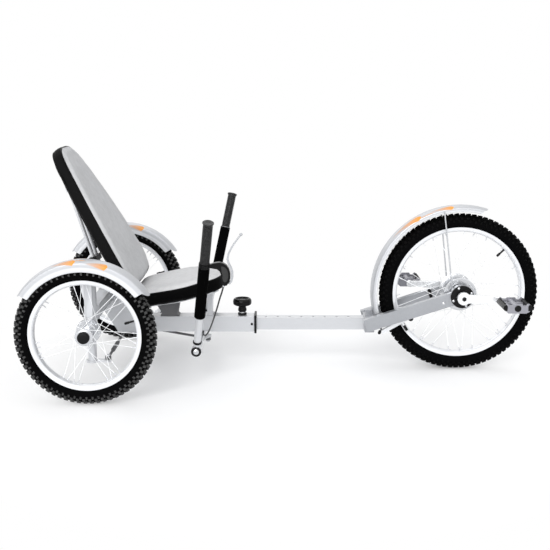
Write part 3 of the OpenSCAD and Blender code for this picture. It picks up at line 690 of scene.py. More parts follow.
def tyre(side_name, node, axle, radius, bead, blocks):
    """A knobby tyre: a carcass with moulded rings, and four kinds of tread block."""
    centre = radius - 25.0
    deep, wide, knob = 20.6, 22.6, 4.4
    section = []
    for step in range(-28, 29):
        a = math.radians(step * 5)
        lift = 0.7 if abs(step) in (19, 22) else 0.0
        section.append(((wide + lift) * math.sin(a), centre + (deep + lift) * math.cos(a)))
    section += [(13.6, bead + 0.4), (12.0, bead + 2.5), (-12.0, bead + 2.5), (-13.6, bead + 0.4)]
    body = body_of(node)
    turned(f"{side_name}_tyre_carcass", section, frame_at(axle, Y), 128, TYRE_RUBBER, body, "tyre_rubber",
           closed=True, stands_for=(node,), smooth=60)

    def block(tilt, length, width, height, lean=0.0):
        """One block at the front of the wheel, tilt degrees round the tyre's section."""
        a = math.radians(tilt)
        foot = Vector(((centre + (deep - 1.2) * math.cos(a)) * MM, (wide - 1.2) * math.sin(a) * MM, 0))
        out = Vector((math.cos(a), math.sin(a), 0))
        base = frame_at(foot, out, Z) @ Matrix.Rotation(math.radians(lean), 4, "Z")
        one = bmesh.new()
        outline = [(-length / 2, -width / 2), (length / 2, -width / 2 + 1),
                   (length / 2, width / 2 - 1), (-length / 2, width / 2)]
        prism(one, outline, 0, height + 1.2, base, taper=0.82)
        return one

    # The rear blocks take the lighter rubber, a painted highlight on the knobs.
    tread = FRONT_TREAD if side_name == "front" else REAR_TREAD_PAINTED_HIGHLIGHT
    half = math.pi / blocks
    meshes = []
    for way in (-1, 1):
        odd, even = half * (way > 0), half * (way < 0)
        for one, phase in ((block(13 * way, 8.6, 8.0, knob, 14 * way), odd),
                           (block(37 * way, 9.4, 8.6, knob, -10 * way), even + half / 2),
                           (block(61 * way, 8.2, 10.0, knob - 0.4), odd),
                           (block(82 * way, 6.0, 10.0, 2.3), even)):
            meshes.append(grown(one, RING, tread, Count=blocks, Phase=phase, Axle=axle))
    shown(f"{side_name}_tyre_tread", together(meshes), tread, body, "tyre_rubber", tidy=False,
          smooth=25)


def rim(side_name, node, axle, bead, holes):
    """A box-section rim with hooked edges, and its spoke eyelets."""
    half = [(7.0, bead - 6.6), (13.8, bead - 3.2), (14.2, bead + 1.9), (15.9, bead + 1.6), (15.9, bead - 5.0),
            (14.6, bead - 8.6), (11.5, bead - 11.4), (7.0, bead - 12.8)]
    body = body_of(node)
    turned(f"{side_name}_rim_hoop", half + mirrored(half), frame_at(axle, Y), 160, RIM_ALLOY, body,
           "rim_metal", closed=True, stands_for=(node,), smooth=24)
    eyelet = bmesh.new()
    seat = frame_at(Vector(((bead - 12.6) * MM, 0, 0)), -X)
    lathe(eyelet, [(-0.6, 3.2), (0.5, 3.0), (0.9, 2.2), (0.4, 1.7), (-0.6, 1.7)], seat, 14)
    ring_of(f"{side_name}_rim_eyelets", eyelet, ZINC, body, "hub_metal", holes, math.pi / holes, axle,
            smooth=50)


def valve(name, axle, bead, angle, body):
    """A rubber valve stem with its threaded end and cap."""
    a = math.radians(angle)
    inward = Vector((-math.cos(a), 0, -math.sin(a)))
    root = axle - inward * (bead - 12.4) * MM
    turned(name, [(-1, 4.2), (1.5, 4.2), (3.0, 3.1), (16, 2.9), (17, 3.3), (18.0, 3.9), (28, 3.9), (30, 3.2),
                  (30.6, 0)], frame_at(root, inward, Y), 20, BLACK_PLASTIC, body, "black_plastic")


def laced(count, hub_r, hub_y, rim_r, rim_y, phase, axle, cross, y_way):
    """Spoke paths on one side of a wheel, leaning alternately ahead and behind."""
    paths, nipples = [], []
    for i in range(count):
        lean = cross if i % 2 else -cross
        a = math.tau * i / count + phase
        b = a + math.radians(lean)
        dip = 1.8 if i % 2 else -1.8
        hub = axle + Vector((hub_r * math.cos(a), (hub_y + dip) * y_way, hub_r * math.sin(a))) * MM
        end = axle + Vector((rim_r * math.cos(b), rim_y * y_way, rim_r * math.sin(b))) * MM
        through = axle + Vector((hub_r * math.cos(a), (hub_y - dip) * y_way, hub_r * math.sin(a))) * MM
        paths.append([through, hub, end])
        nipples.append([end, end + (hub - end).normalized() * 13 * MM])
    return paths, nipples


def spokes(side_name, node, groups):
    """All the spokes of one wheel, and their nipples."""
    paths, nipples = [], []
    for group in groups:
        more, ends = laced(*group)
        paths += more
        nipples += ends
    body = body_of(node)
    rods(f"{side_name}_spoke_rods", paths, 0.75, 8, SPOKE_STEEL, body, "spoke_steel",
         stands_for=(node,), smooth=50)
    rods(f"{side_name}_spoke_nipples", nipples, 1.7, 8, NIPPLE_PLATE, body, "spoke_steel", smooth=50)


def rear_wheel(side, axle, outward):
    """A rear wheel, whose hub has its broad flange inboard and its narrow one outboard."""
    name = f"rear_{side}"
    body = body_of(f"rear_tyre_{side}")
    tyre(name, f"rear_tyre_{side}", axle, REAR_R, REAR_BEAD, 66)
    rim(name, f"rear_rim_{side}", axle, REAR_BEAD, 28)
    valve(f"{name}_valve", axle, REAR_BEAD, 16.5, body)
    rim_r = REAR_BEAD - 12.0
    spokes(name, f"rear_spokes_{side}", [
        (14, 33.0, -43.0, rim_r, -3.5, 0.0, axle, 62, outward),
        (14, 23.2, 23.0, rim_r, 3.5, math.pi / 14, axle, 62, outward),
    ])
    base = frame_at(axle, Y * outward)
    turned(f"{name}_hub_shell", [
        (-48, 8.3), (-48, 17.5), (-47, 18.5), (-45.2, 19.5), (-45, 35), (-44, 36), (-42, 36), (-41, 35),
        (-40.6, 22), (-37, 18), (-30, 16.6), (-6, 15.6), (14, 16.6), (20.4, 19.5), (21, 25), (22, 26),
        (24, 26), (25, 25), (25.4, 19), (26.4, 16.5), (26.4, 8.3),
    ], base, 64, HUB_ALLOY, body, "hub_metal", closed=True, stands_for=(f"rear_hub_{side}",), smooth=30)
    turned(f"{name}_hub_cap", [
        (25.8, 0), (25.8, 17.2), (27, 17.6), (33, 17.6), (33.6, 17.0), (34.2, 17.4), (37.0, 16.8),
        (38.8, 15.2), (39.6, 12.0), (40, 6), (40, 0),
    ], base, 56, BLACK_PLASTIC, body, "black_plastic", smooth=30)
    rivet = bmesh.new()
    dome_screw(rivet, Vector((29.5 * MM, -40.9 * outward * MM, 0)), Y * outward, 3.2, 1.8)
    ring_of(f"{name}_hub_rivets", rivet, ZINC, body, "hub_metal", 7, 0.2, axle)


def front_wheel():
    """The front wheel, with its wide hub."""
    body = body_of("front_tyre")
    tyre("front", "front_tyre", FRONT, FRONT_R, FRONT_BEAD, 84)
    rim("front", "front_rim", FRONT, FRONT_BEAD, 36)
    valve("front_valve", FRONT, FRONT_BEAD, 44, body)
    rim_r = FRONT_BEAD - 12.0
    spokes("front", "front_spokes", [
        (18, 49.0, 38.0, rim_r, 3.5, 0.0, FRONT, 44, 1),
        (18, 49.0, 38.0, rim_r, 3.5, math.pi / 18, FRONT, 44, -1),
    ])
    half = [(-46, 10.3), (-46, 15.4), (-45.4, 16), (-40.6, 16.4), (-40.2, 50.6), (-39.2, 52), (-36.8, 52),
            (-36, 50.6), (-35.4, 30), (-33, 26.6), (-28, 25.6)]
    turned("front_hub_shell", half + [(0, 24.4)] + mirrored(half), frame_at(FRONT, Y), 72, HUB_ALLOY, body,
           "hub_metal", closed=True, stands_for=("front_hub",), smooth=30)
    for way, label in SIDES:
        head = bmesh.new()
        hex_bolt(head, Vector((42 * MM, 40.1 * way * MM, 0)), Y * way, 7.0, 3.0, washer=False)
        ring_of(f"front_hub_bolts_{label}", head, ZINC, body, "hub_metal", 6, 0.3, FRONT)


# ---------------------------------------------------------------- fenders

def fender(node, axle, material, radius, width, crown, lip, start, stop, point_start, point_stop):
    """A rolled channel fender whose ends run out to rounded tongues on its crown."""
    wall = 1.6
    section = []
    for step in range(-18, 19):
        a = math.radians(step * 5)
        section.append((width / 2 * math.sin(a), radius - crown * (1 - math.cos(a)),
                        math.sin(a), math.cos(a)))
    edge = width / 2
    low = radius - crown
    lips = [(edge, low - lip * 0.5, 1, 0), (edge, low - lip + 2.4, 1, 0),
            (edge - 0.6, low - lip + 0.6, 0.6, -0.8), (edge - 1.8, low - lip, 0, -1)]
    left = [(-y, r, -ny, nr) for y, r, ny, nr in reversed(lips)]
    section = left + section + lips
    bm = bmesh.new()
    count = 96
    half = len(section) - 1
    rows = []
    for i in range(count + 1):
        outer, inner = [], []
        for j, (y, r, ny, nr) in enumerate(section):
            off = abs(2 * j / half - 1)
            begin = start + point_start * off ** 1.6
            end = stop - point_stop * off ** 1.6
            a = math.radians(begin + (end - begin) * i / count)
            way = Vector((math.cos(a), 0, math.sin(a)))
            outer.append(bm.verts.new(axle + (way * r + Y * y) * MM))
            inner.append(bm.verts.new(axle + (way * (r - wall * nr) + Y * (y - wall * ny)) * MM))
        rows.append((outer, inner))
    for (o1, i1), (o2, i2) in zip(rows, rows[1:]):
        for j in range(half):
            bm.faces.new((o1[j], o1[j + 1], o2[j + 1], o2[j]))
            bm.faces.new((i1[j], i2[j], i2[j + 1], i1[j + 1]))
        for j in (0, half):
            bm.faces.new((o1[j], o2[j], i2[j], i1[j]))
    for outer, inner in (rows[0], rows[-1]):
        for j in range(half):
            bm.faces.new((outer[j], outer[j + 1], inner[j + 1], inner[j]))
    shown(f"{node}_shell", bm, material, body_of(node), "fender_paint", stands_for=(node,), smooth=50)


def all_fenders():
    """Both rear fenders and the front one, with three strokes of paint on each."""
    rear = [(94.0, 20, 26, -4, 20), (69.5, 17, 32, 6, 17), (86.0, 34, 16, -2, 4)]
    for side, axle in (("right", REAR_RIGHT), ("left", REAR_LEFT)):
        reach = REAR_R + 15.5
        paint = fender_finish(f"rear_fender_paint_{side}", axle, reach, rear, 47)
        fender(f"rear_fender_{side}", axle, paint, reach, 62, 8, 24, 32, 148, 7, 4)
    front = [(95.8, 16, 28, -2, 16), (117.7, 24, 26, -6, 19), (108.0, 36, 34, 4, 3)]
    paint = fender_finish("front_fender_paint", FRONT, FRONT_R + 27, front, 43)
    fender("front_fender", FRONT, paint, FRONT_R + 27, 64, 9, 10, 72.5, 195, 5, 1)


# ---------------------------------------------------------------- cushions

def outline_of(node, toward):
    """The corners of a CAD solid's broad face that looks along toward, its normal and its depth."""
    bm = merged(node)
    broad = max((f for f in bm.faces if f.normal.dot(toward) > 0.5), key=lambda f: f.calc_area())
    corners = [v.co.copy() for v in broad.verts]
    normal = broad.normal.copy()
    heights = [v.co.dot(normal) for v in bm.verts]
    bm.free()
    return corners, normal, (max(heights) - min(heights)) / MM


def rounded(corners, passes):
    """Cuts the corners of a closed outline until it is a smooth curve."""
    for _ in range(passes):
        cut = []
        for a, b in zip(corners, corners[1:] + corners[:1]):
            cut += [a.lerp(b, 0.25), a.lerp(b, 0.75)]
        corners = cut
    return corners


def drawn_in(outline, normal, amount):
    """The outline moved inwards, in its own plane, by an amount in millimetres."""
    centre = sum(outline, Vector()) / len(outline)
    moved = []
    for before, here, after in zip(outline[-1:] + outline[:-1], outline, outline[1:] + outline[:1]):
        side = (after - before).cross(normal).normalized()
        if side.dot(here - centre) < 0:
            side = -side
        moved.append(here - side * amount * MM)
    return moved


def slab(loops):
    """A closed solid through several outlines that lie over each other."""
    bm = bmesh.new()
    rings = [[bm.verts.new(p) for p in loop] for loop in loops]
    count = len(rings[0])
    for low, high in zip(rings, rings[1:]):
        for i in range(count):
            j = (i + 1) % count
            bm.faces.new((low[i], low[j], high[j], high[i]))
    bm.faces.new(rings[0])
    bm.faces.new(rings[-1])
    bmesh.ops.recalc_face_normals(bm, faces=bm.faces)
    return bm


def stuffed(obj, normal, cap):
    """Swells a pad with pressure inside its cover, by cap millimetres at most; its seams hold its outline."""
    rest = [v.co.copy() for v in obj.data.vertices]
    swell = obj.modifiers.new("stuffing", "CLOTH")
    swell.settings.use_pressure = True
    swell.settings.uniform_pressure_force = 4.0
    swell.settings.effector_weights.gravity = 0.0
    swell.settings.quality = 4
    swell.point_cache.frame_start = 1
    swell.point_cache.frame_end = 20
    scene = bpy.context.scene
    for number in range(1, 21):
        scene.frame_set(number)
    depsgraph = bpy.context.evaluated_depsgraph_get()
    grown_mesh = obj.evaluated_get(depsgraph).to_mesh()
    places = [v.co.copy() for v in grown_mesh.vertices]
    obj.evaluated_get(depsgraph).to_mesh_clear()
    obj.modifiers.remove(swell)
    for vertex, was, now in zip(obj.data.vertices, rest, places):
        rise = normal * (now - was).dot(normal)
        if rise.length > cap * MM:
            rise *= cap * MM / rise.length
        vertex.co = was + rise
    scene.frame_set(1)


def cushion(name, node, toward, face, band):
    """A boxed cushion: pale cloth on its face, a dark band round its sides, piping on both seams."""
    crown, most_swell = 5.0, 5.0
    corners, normal, depth = outline_of(node, toward)
    outline = rounded(corners, 2)
    centre = sum(outline, Vector()) / len(outline)

    def loop(deep, inset):
        """The outline, deep millimetres below the face and drawn in by inset."""
        return [p - normal * deep * MM for p in drawn_in(outline, normal, inset)]

    layers = ((depth - 0.8, 2.5), (depth - 4, -1.6), (depth * 0.7, -4.5), (depth * 0.3, -4.5),
              (4, -1.6), (0.8, 2.5))
    mesh = bpy.data.meshes.new(name)
    bm = slab([loop(deep, inset) for deep, inset in layers])
    bm.to_mesh(mesh)
    bm.free()
    pad = bpy.data.objects.new(name, mesh)
    bpy.context.scene.collection.objects.link(pad)
    remesh = pad.modifiers.new("voxels", "REMESH")
    remesh.mode = "VOXEL"
    remesh.voxel_size = 4.5 * MM
    depsgraph = bpy.context.evaluated_depsgraph_get()
    even = bpy.data.meshes.new_from_object(pad.evaluated_get(depsgraph), depsgraph=depsgraph)
    pad.modifiers.clear()
    pad.data = even
    stuffed(pad, normal, most_swell)
    reach = max((p - centre).length for p in outline)
    level = max(v.co.dot(normal) for v in pad.data.vertices)
    for vertex in pad.data.vertices:
        under = (level - vertex.co.dot(normal)) / MM
        flat = vertex.co - normal * (vertex.co - centre).dot(normal)
        share = max(0.0, 1 - ((flat - centre).length / reach) ** 2)
        if under < depth * 0.5:
            vertex.co += normal * crown * share * (1 - under / (depth * 0.5)) * MM
    bm = bmesh.new()
    bm.from_mesh(pad.data)
    for _ in range(2):
        bmesh.ops.smooth_vert(bm, verts=bm.verts, factor=0.5, use_axis_x=True, use_axis_y=True,
                              use_axis_z=True)
    bm.to_mesh(pad.data)
    bm.free()
    seam_depth = 4.5
    seam = centre.dot(normal) - seam_depth * MM
    pad.data.materials.clear()
    pad.data.materials.append(cover_cloth(f"{name}_cloth", face, band, normal, seam))
    for polygon_face in pad.data.polygons:
        polygon_face.use_smooth = True
    finer = pad.modifiers.new("finer", "SUBSURF")
    finer.levels = finer.render_levels = 1
    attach(pad, body_of(node))
    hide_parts(node)
    rods(f"{name}_piping", [loop(deep, 0.2) for deep in (seam_depth, depth - seam_depth)], 2.4, 10,
         PIPING_VINYL, body_of(node), "seat_fabric", closed=True, smooth=60)


def seat_and_back():
    cushion("seat_cushion", "seat_pad", Vector((-0.18, 0, 0.98)),
            (0.60, 0.60, 0.605), (0.0018, 0.0018, 0.0019))
    cushion("back_cushion", "seat_back", Vector((0.87, 0, 0.49)),
            (0.55, 0.553, 0.56), (0.007, 0.007, 0.0072))


# ---------------------------------------------------------------- steering

def axis_of(node, left):
    """The axis of a long round solid on one side: its middle, its direction and its half length."""
    points = np.array([v.co for v in frame["nodes"][node].data.vertices if (v.co.y > 0) == left])
    spread = points - points.mean(axis=0)
    way = np.linalg.svd(spread, full_matrices=False)[2][0]
    way = way if way[2] > 0 else -way
    along = spread @ way
    centre = points.mean(axis=0) + way * (along.max() + along.min()) / 2
    return Vector(centre), Vector(way), (along.max() - along.min()) / 2 / MM


def grips_and_foams():
    """Ribbed grips with flared tops, above foam sleeves with rounded ends."""
    body = body_of("lever_grips")
    for side, left in (("right", False), ("left", True)):
        centre, way, half = axis_of("lever_foams", left)
        base = frame_at(centre, way)
        turned(f"lever_foam_{side}", [
            (-half, 11.4), (-half, 15.2), (-half + 1.4, 16.4), (-half + 3, 16.5), (-half / 3, 16.2),
            (half / 3, 16.6), (half - 3, 16.5), (half - 1.4, 16.3), (half, 15.0), (half, 11.4),
        ], base, 40, FOAM, body, "foam_sleeve", closed=True, smooth=50,
               stands_for=() if left else ("lever_foams",))
        low = -half - 96
        turned(f"lever_ring_{side}", [
            (low, 10.9), (low, 12.7), (low + 1, 13.4), (low + 6, 13.4), (low + 7, 12.7), (low + 7, 10.9),
        ], base, 32, BLACK_PLASTIC, body, "black_plastic", closed=True, smooth=50)
        centre, way, half = axis_of("lever_grips", left)
        base = frame_at(centre, way)
        profile = [(-half, 0), (-half, 13.6), (-half + 1.2, 14.6), (-half + 4, 14.6)]
        reach = 2 * half - 16
        ribs = int(reach / 4.6)
        for i in range(ribs):
            s = -half + 5 + reach * i / ribs
            profile += [(s, 13.1), (s + 0.9, 14.4), (s + 2.6, 14.4), (s + 3.5, 13.1)]
        profile += [(half - 9, 14.0), (half - 6, 15.2), (half - 4, 16.6), (half - 2.0, 16.6),
                    (half - 1, 15.6), (half - 1.4, 6.0), (half - 2, 4.0), (half - 2, 0)]
        turned(f"lever_grip_{side}", profile, base, 40, GRIP_RUBBER_PAINTED_GLINTS, body, "grip_rubber", smooth=32,
               stands_for=() if left else ("lever_grips",))
    low = -half - 1.6
    turned("lever_cuff", [
        (low, 11.6), (low, 15.6), (low + 0.6, 16.9), (low + 3.0, 16.9), (low + 3.6, 15.6), (low + 3.6, 11.6),
    ], base, 36, SLEEVE_GREY, body, "zinc_steel", closed=True, smooth=50)


def brake_control():
    """The brake's clamp and hooded body, and its thin blade with a ball at the tip."""
    body = body_of("brake_lever")
    centre, way, half = axis_of("lever_grips", False)
    split = centre - way * (half + 7.3) * MM
    side_on = frame_at(split, -Y, X)
    hood = bmesh.new()
    lathe(hood, [(-7, 11.5), (-7, 15.6), (-6, 16.6), (6, 16.6), (7, 15.6), (7, 11.5)],
          frame_at(split, way), 36, closed=True)
    shape = [(13, -6), (14, 3), (28, 8), (42, 10), (54, 8), (64, 2), (71, -8), (75, -22), (75, -36),
             (71, -49), (64, -58), (56, -59), (50, -53), (47, -42), (48, -26), (44, -16), (36, -10)]
    prism(hood, shape, -9, 9, side_on)
    shown("brake_lever_hood", hood, GLOSS_BLACK, body, "black_plastic", stands_for=("brake_lever",),
          bevel=2.2)
    inside = [(60 + (x - 60) * 0.62, -25 + (z + 25) * 0.68) for x, z in shape[3:-1]]
    pressed("brake_lever_cover", inside, -10.2, 10.2, side_on, SLEEVE_BLACK, body, "black_plastic", 0.6)
    run = [(70, -54), (77, -46), (80, -34), (80, -19), (76, -6), (70, 6), (67, 18), (70, 34), (79, 52),
           (90, 69), (99, 81), (105, 88)]
    root_width, tip_width = 3.4, 2.0
    outline = []
    for sign in (1, -1):
        edge = []
        for i, (x, z) in enumerate(run):
            before = run[max(i - 1, 0)]
            after = run[min(i + 1, len(run) - 1)]
            heading = Vector((after[0] - before[0], after[1] - before[1])).normalized()
            wide = root_width - (root_width - tip_width) * i / (len(run) - 1)
            edge.append((x - heading.y * wide * sign, z + heading.x * wide * sign))
        outline += edge if sign > 0 else edge[::-1]
    blade = bmesh.new()
    prism(blade, outline, -6, 6, side_on)
    tip, tip_radius = split + Vector((106, 0, 90)) * MM, 4.6
    lathe(blade, [(tip_radius * math.sin(math.radians(a)), tip_radius * math.cos(math.radians(a)))
                  for a in range(-90, 91, 18)], frame_at(tip, Z), 20)
    shown("brake_lever_blade", blade, BLADE_STEEL, body, "hub_metal", bevel=1.2)


def bar_ends():
    """Plugs with a bright bolt in both ends of the steering bar."""
    body = body_of("steering_bar")
    end_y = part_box("steering_bar")[1].y
    caps = bmesh.new()
    heads = bmesh.new()
    for way, _ in SIDES:
        end = at(300, 0, 110)
        end.y = way * end_y
        base = frame_at(end, Y * way)
        lathe(caps, [(-6, 0), (-6, 9.8), (0.3, 9.8), (0.4, 15.2), (2.6, 15.2), (3.6, 13.6), (3.8, 0)],
              base, 36)
        lathe(heads, [(3.4, 0), (3.4, 8.6), (5.4, 8.6), (6.8, 6.4), (7.3, 3.4), (6.2, 3.2), (6.2, 0)],
              base, 28)
    shown("steering_bar_plugs", caps, BLACK_PLASTIC, body, "black_plastic", smooth=40)
    shown("steering_bar_bolts", heads, HUB_ALLOY, body, "hub_metal", smooth=40)


CABLE_ROUTE = [
    (392, -282, 336), (389, -281, 326), (385, -276, 312), (379, -264, 294), (371, -240, 266),
    (362, -212, 236), (353, -182, 208), (344, -150, 181), (335, -120, 157), (326, -94, 138),
    (319, -74, 127), (315, -58, 122), (312, -47, 121), (310, -40, 122), (309, -34, 124), (308, -27, 128)]


def brake_cable():
    """The brake's sheathed cable, from the lever into the main tube's lower edge."""
    route = smooth_path([at(*p) for p in CABLE_ROUTE], 5)
    cable = rods("brake_cable_sheath", [route], 2.5, 12, CABLE_SHEATH, None, "cable_sheath",
                 stands_for=("brake_cable",), smooth=60)
    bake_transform(cable)
    turned("brake_cable_adjuster", [
        (-5, 0), (-5, 3.4), (3, 3.4), (3.6, 4.2), (8, 4.2), (8.6, 3.4), (12, 3.2), (12, 0),
    ], frame_at(route[0], route[0] - route[5]), 18, ZINC, "steering", "zinc_steel")


# ---------------------------------------------------------------- knob, pedals, cranks and small parts

def knob():
    """The glossy pull knob on its nut, dished on top."""
    low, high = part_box("length_knob")
    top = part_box("main_tube")[1].z
    base = frame_at(Vector(((low.x + high.x) / 2, (low.y + high.y) / 2, top)), Z)
    body = body_of("length_knob")
    turned("length_knob_grip", [
        (10.5, 0), (10.5, 8.5), (11, 11.6), (15, 14.0), (20, 13.6), (26, 11.8), (29.5, 12.4), (31, 15),
        (32.5, 24), (34.5, 27.6), (38, 29.6), (44, 30), (49, 29.2), (52.5, 27.2), (54.4, 24.4), (54.6, 22.4),
        (53.4, 21), (50.4, 19.4), (49.6, 16), (49.4, 0),
    ], base, 64, GLOSS_BLACK, body, "black_plastic", stands_for=("length_knob",), smooth=60)
    pressed("length_knob_nut", hexagon(14.2), 0, 7.5, base, BLACK_PLASTIC, body, "black_plastic", 0.8)
    turned("length_knob_ring", [(7, 0), (7, 10.5), (10.8, 10.5), (10.8, 0)], base, 36, HUB_ALLOY, body,
           "hub_metal")
    foot = (low.z - top) / MM
    turned("length_knob_pin", [(foot, 0), (foot, 3.3), (0.5, 3.3), (0.5, 0)], base, 18, ZINC, body,
           "zinc_steel")


def pedal(side):
    """A cage pedal: two toothed side plates, ribs between them, corner pads and a barrel with its cap."""
    node = f"pedal_{side}"
    low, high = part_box(node)
    body = body_of(node)
    out = -1 if side == "right" else 1
    wide = (high.y - low.y) / MM
    base = frame_at((low + high) / 2, Y * out, X)
    inner, outer = -wide / 2, wide / 2
    up = 1 if base.col[1].z > 0 else -1

    def plan(points):
        return [(x, z * up) for x, z in points]

    plate = plan([(-45, 1), (-40, -4), (-28, -15), (26, -15), (35, -10), (45, 0), (38, 8), (33, 15), (29, 15),
                  (24, 8.5), (16, 8.5), (13, 14.6), (-13, 14.6), (-17, 8.5), (-26, 8.5), (-30, 15), (-35, 15),
                  (-38, 8)])
    cage = bmesh.new()
    prism(cage, plate, outer - 4.5, outer - 0.4, base)
    prism(cage, plate, inner + 0.4, inner + 4.5, base)
    shown(f"{node}_cage", cage, PEDAL_ALLOY, body, "pedal_metal", stands_for=(node,), bevel=0.7)
    core = bmesh.new()
    lathe(core, [(inner + 1, 0), (inner + 1, 10.6), (inner + 8, 10.6), (inner + 12, 9), (outer - 12, 9),
                 (outer - 7, 10.4), (outer - 4, 10.4), (outer - 4, 0)], base, 36)
    for z in (-20, 20):
        prism(core, plan([(-36, -4), (36, -4), (36, 4.5), (-36, 4.5)]), z - 4, z + 4, base)
    shown(f"{node}_core", core, PEDAL_ALLOY, body, "pedal_metal", bevel=0.6)
    ends = bmesh.new()
    lathe(ends, [(outer - 5, 0), (outer - 5, 10), (outer + 0.6, 10), (outer + 2.0, 8.8), (outer + 2.4, 5),
                 (outer + 2.4, 0)], base, 32)
    for turn in (-1, 1):
        bar = [(45 * turn, 0), (38 * turn, -7.5), (31 * turn, -7.5), (30 * turn, 6), (34 * turn, 12.5),
               (40 * turn, 9)]
        prism(ends, plan(bar), inner + 2, outer + 0.2, base)
    shown(f"{node}_pads", ends, BLACK_PLASTIC, body, "black_plastic", bevel=1.4)
    tooth = bmesh.new()
    corner = base @ Vector((-35 * MM, 10 * up * MM, (inner + 8) * MM))
    prism(tooth, [(-2.2, -3), (2.2, -3), (0, 6)], -1.6, 1.6, frame_at(corner, Y, X))
    step = base.to_3x3() @ Vector((0, 0, (wide - 16) / 9 * MM))
    row = grown(tooth, ROW, BLACK_PLASTIC, Count=10, Step=tuple(step))
    other = row.copy()
    other.transform(Matrix.Translation(base.to_3x3() @ Vector((70 * MM, 0, 0))))
    shown(f"{node}_teeth", together([row, other]), BLACK_PLASTIC, body, "black_plastic", tidy=False)


def drive():
    """Crank caps with their bolts, and the bolts of the bearing plates."""
    shift = half_size("bearing_plates").y
    body = body_of("crankset")
    for way, label in SIDES:
        face = Vector((FRONT.x, way * 106 * MM, FRONT.z))
        turned(f"crank_cap_{label}", [
            (-0.5, 0), (-0.5, 18.8), (0.8, 18.8), (2.4, 17.8), (3.2, 16), (3.2, 11), (2.2, 9.8), (2.2, 0),
        ], frame_at(face, Y * way), 56, CRANK_ALLOY, body, "crank_metal", smooth=35)
        bolt = bmesh.new()
        dome_screw(bolt, face + Y * way * 2.0 * MM, Y * way, 7.0, 3.4)
        shown(f"crank_bolt_{label}", bolt, BLACK_STEEL, body, "black_steel")
        screw = bmesh.new()
        dome_screw(screw, Vector((30.4 * MM, way * (shift - 0.2 * MM), 0)), Y * way, 4.2, 2.6)
        ring_of(f"bearing_plate_screws_{label}", screw, HUB_ALLOY, body_of("bearing_plates"), "hub_metal",
                4, -math.radians(24), (FRONT.x, 0, FRONT.z))


def screws(name, body, spots, material, slot="hub_metal"):
    """Button-headed screws; each spot is (x, y, z, outward direction, radius)."""
    bm = bmesh.new()
    for x, y, z, out, radius in spots:
        dome_screw(bm, at(x, y, z) - out * 0.3 * MM, out, radius, radius * 0.55)
    shown(name, bm, material, body, slot)


def bolts(name, body, spots, material, slot):
    """Hexagon bolts; each spot is (x, y, z, outward direction, size across flats)."""
    bm = bmesh.new()
    for x, y, z, out, across in spots:
        hex_bolt(bm, at(x, y, z) - out * 0.3 * MM, out, across, across * 0.5)
    shown(name, bm, material, body, slot)


def weld(name, body, loops, open_paths, radius):
    """Weld beads along closed loops of points, painted over with the frame."""
    rings = [paths_mesh([[at(*p) for p in loop]], closed=True) for loop in loops]
    rings += [paths_mesh([[at(*p) for p in path]]) for path in open_paths]
    beads = [grown(ring, WELD, FRAME_PAINT, Radius=radius * MM, Pitch=radius * MM * 1.05, Seed=7 + i)
             for i, ring in enumerate(rings)]
    shown(name, together(beads), FRAME_PAINT, body, "frame_paint", tidy=False, smooth=60)


def front_details():
    """Bolts and a cable clip on the fork, and the brake's pads, bolts and boot."""
    body = body_of("fork")
    screws("fork_screws", body, [(1067.7, -70, 230.9, -Y, 5.4), (1092.7, -70, 241.9, -Y, 5.0),
                                 (1067.7, 70, 230.9, Y, 5.4), (1092.7, 70, 241.9, Y, 5.0)], HUB_ALLOY)
    rise = Vector((292, 0, 95)).normalized()
    pressed("fork_cable_clip", [(-5, -14), (5, -14), (6, 10), (3, 15), (-4, 15), (-6, 8)], -0.4, 7,
            frame_at(at(1044, 50, 236), -Y, rise), BLACK_PLASTIC, body, "black_plastic", 1.2)
    pads_begin = (FRONT_BEAD - 15) * MM
    pads_half_width = 31.6 * MM

    def pads(point):
        away = Vector((point.x - FRONT.x, point.z - FRONT.z)).length
        return 1 if away > pads_begin and abs(point.y) < pads_half_width else 0

    softened("front_brake", [RIM_ALLOY, BLACK_PLASTIC], "frame_paint", 0.8, pads)
    bolts("front_brake_bolts", body, [(969, -50.3, 176, -Y, 9), (969, 50.3, 176, Y, 9)], BLACK_STEEL,
          "black_steel")
    turned("front_brake_boot", [
        (-9, 0), (-9, 4.4), (-5, 5.4), (-1, 4.6), (3, 5.2), (7, 4.0), (9, 2.8), (9, 0),
    ], frame_at(at(872, -45, 131), Vector((0.3, 1, 0.2))), 20, BLACK_PLASTIC, body, "black_plastic",
           smooth=50)


def frame_details():
    """Welds, plugs, bolts and the small fittings of the frame."""
    body = body_of("main_tube")
    back = (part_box("main_tube")[0].x - REAR_RIGHT.x) / MM
    square = [(-24.6, -22), (-22, -24.6), (22, -24.6), (24.6, -22), (24.6, 22), (22, 24.6), (-22, 24.6),
              (-24.6, 22)]
    pressed("main_tube_plug", square, -4, 3.2, frame_at(at(back, 0, 151), -X, Y), BLACK_PLASTIC, body,
            "black_plastic", 1.4)
    screws("main_tube_screws", body, [(464, -25, 151, -Y, 4.2), (464, 25, 151, Y, 4.2)], BLACK_STEEL,
           "black_steel")
    gusset = [[(x, y, 126) for x in (36, 63, 90, 118, 142)] for y in (-29.3, 29.3)]
    collars = [[(-half, y, 228), (half, y, 228), (half, y, 268), (-half, y, 268)]
               for half, y in ((21, -29.6), (21, 29.6), (20.6, -244.6), (20.6, 244.6))]
    pivot = [(315, -25, 177), (345, -25, 177), (345, 25, 177), (315, 25, 177)]
    weld("frame_welds", body, [pivot, *collars], gusset, 1.9)


# ---------------------------------------------------------------- pieces that keep their CAD shape

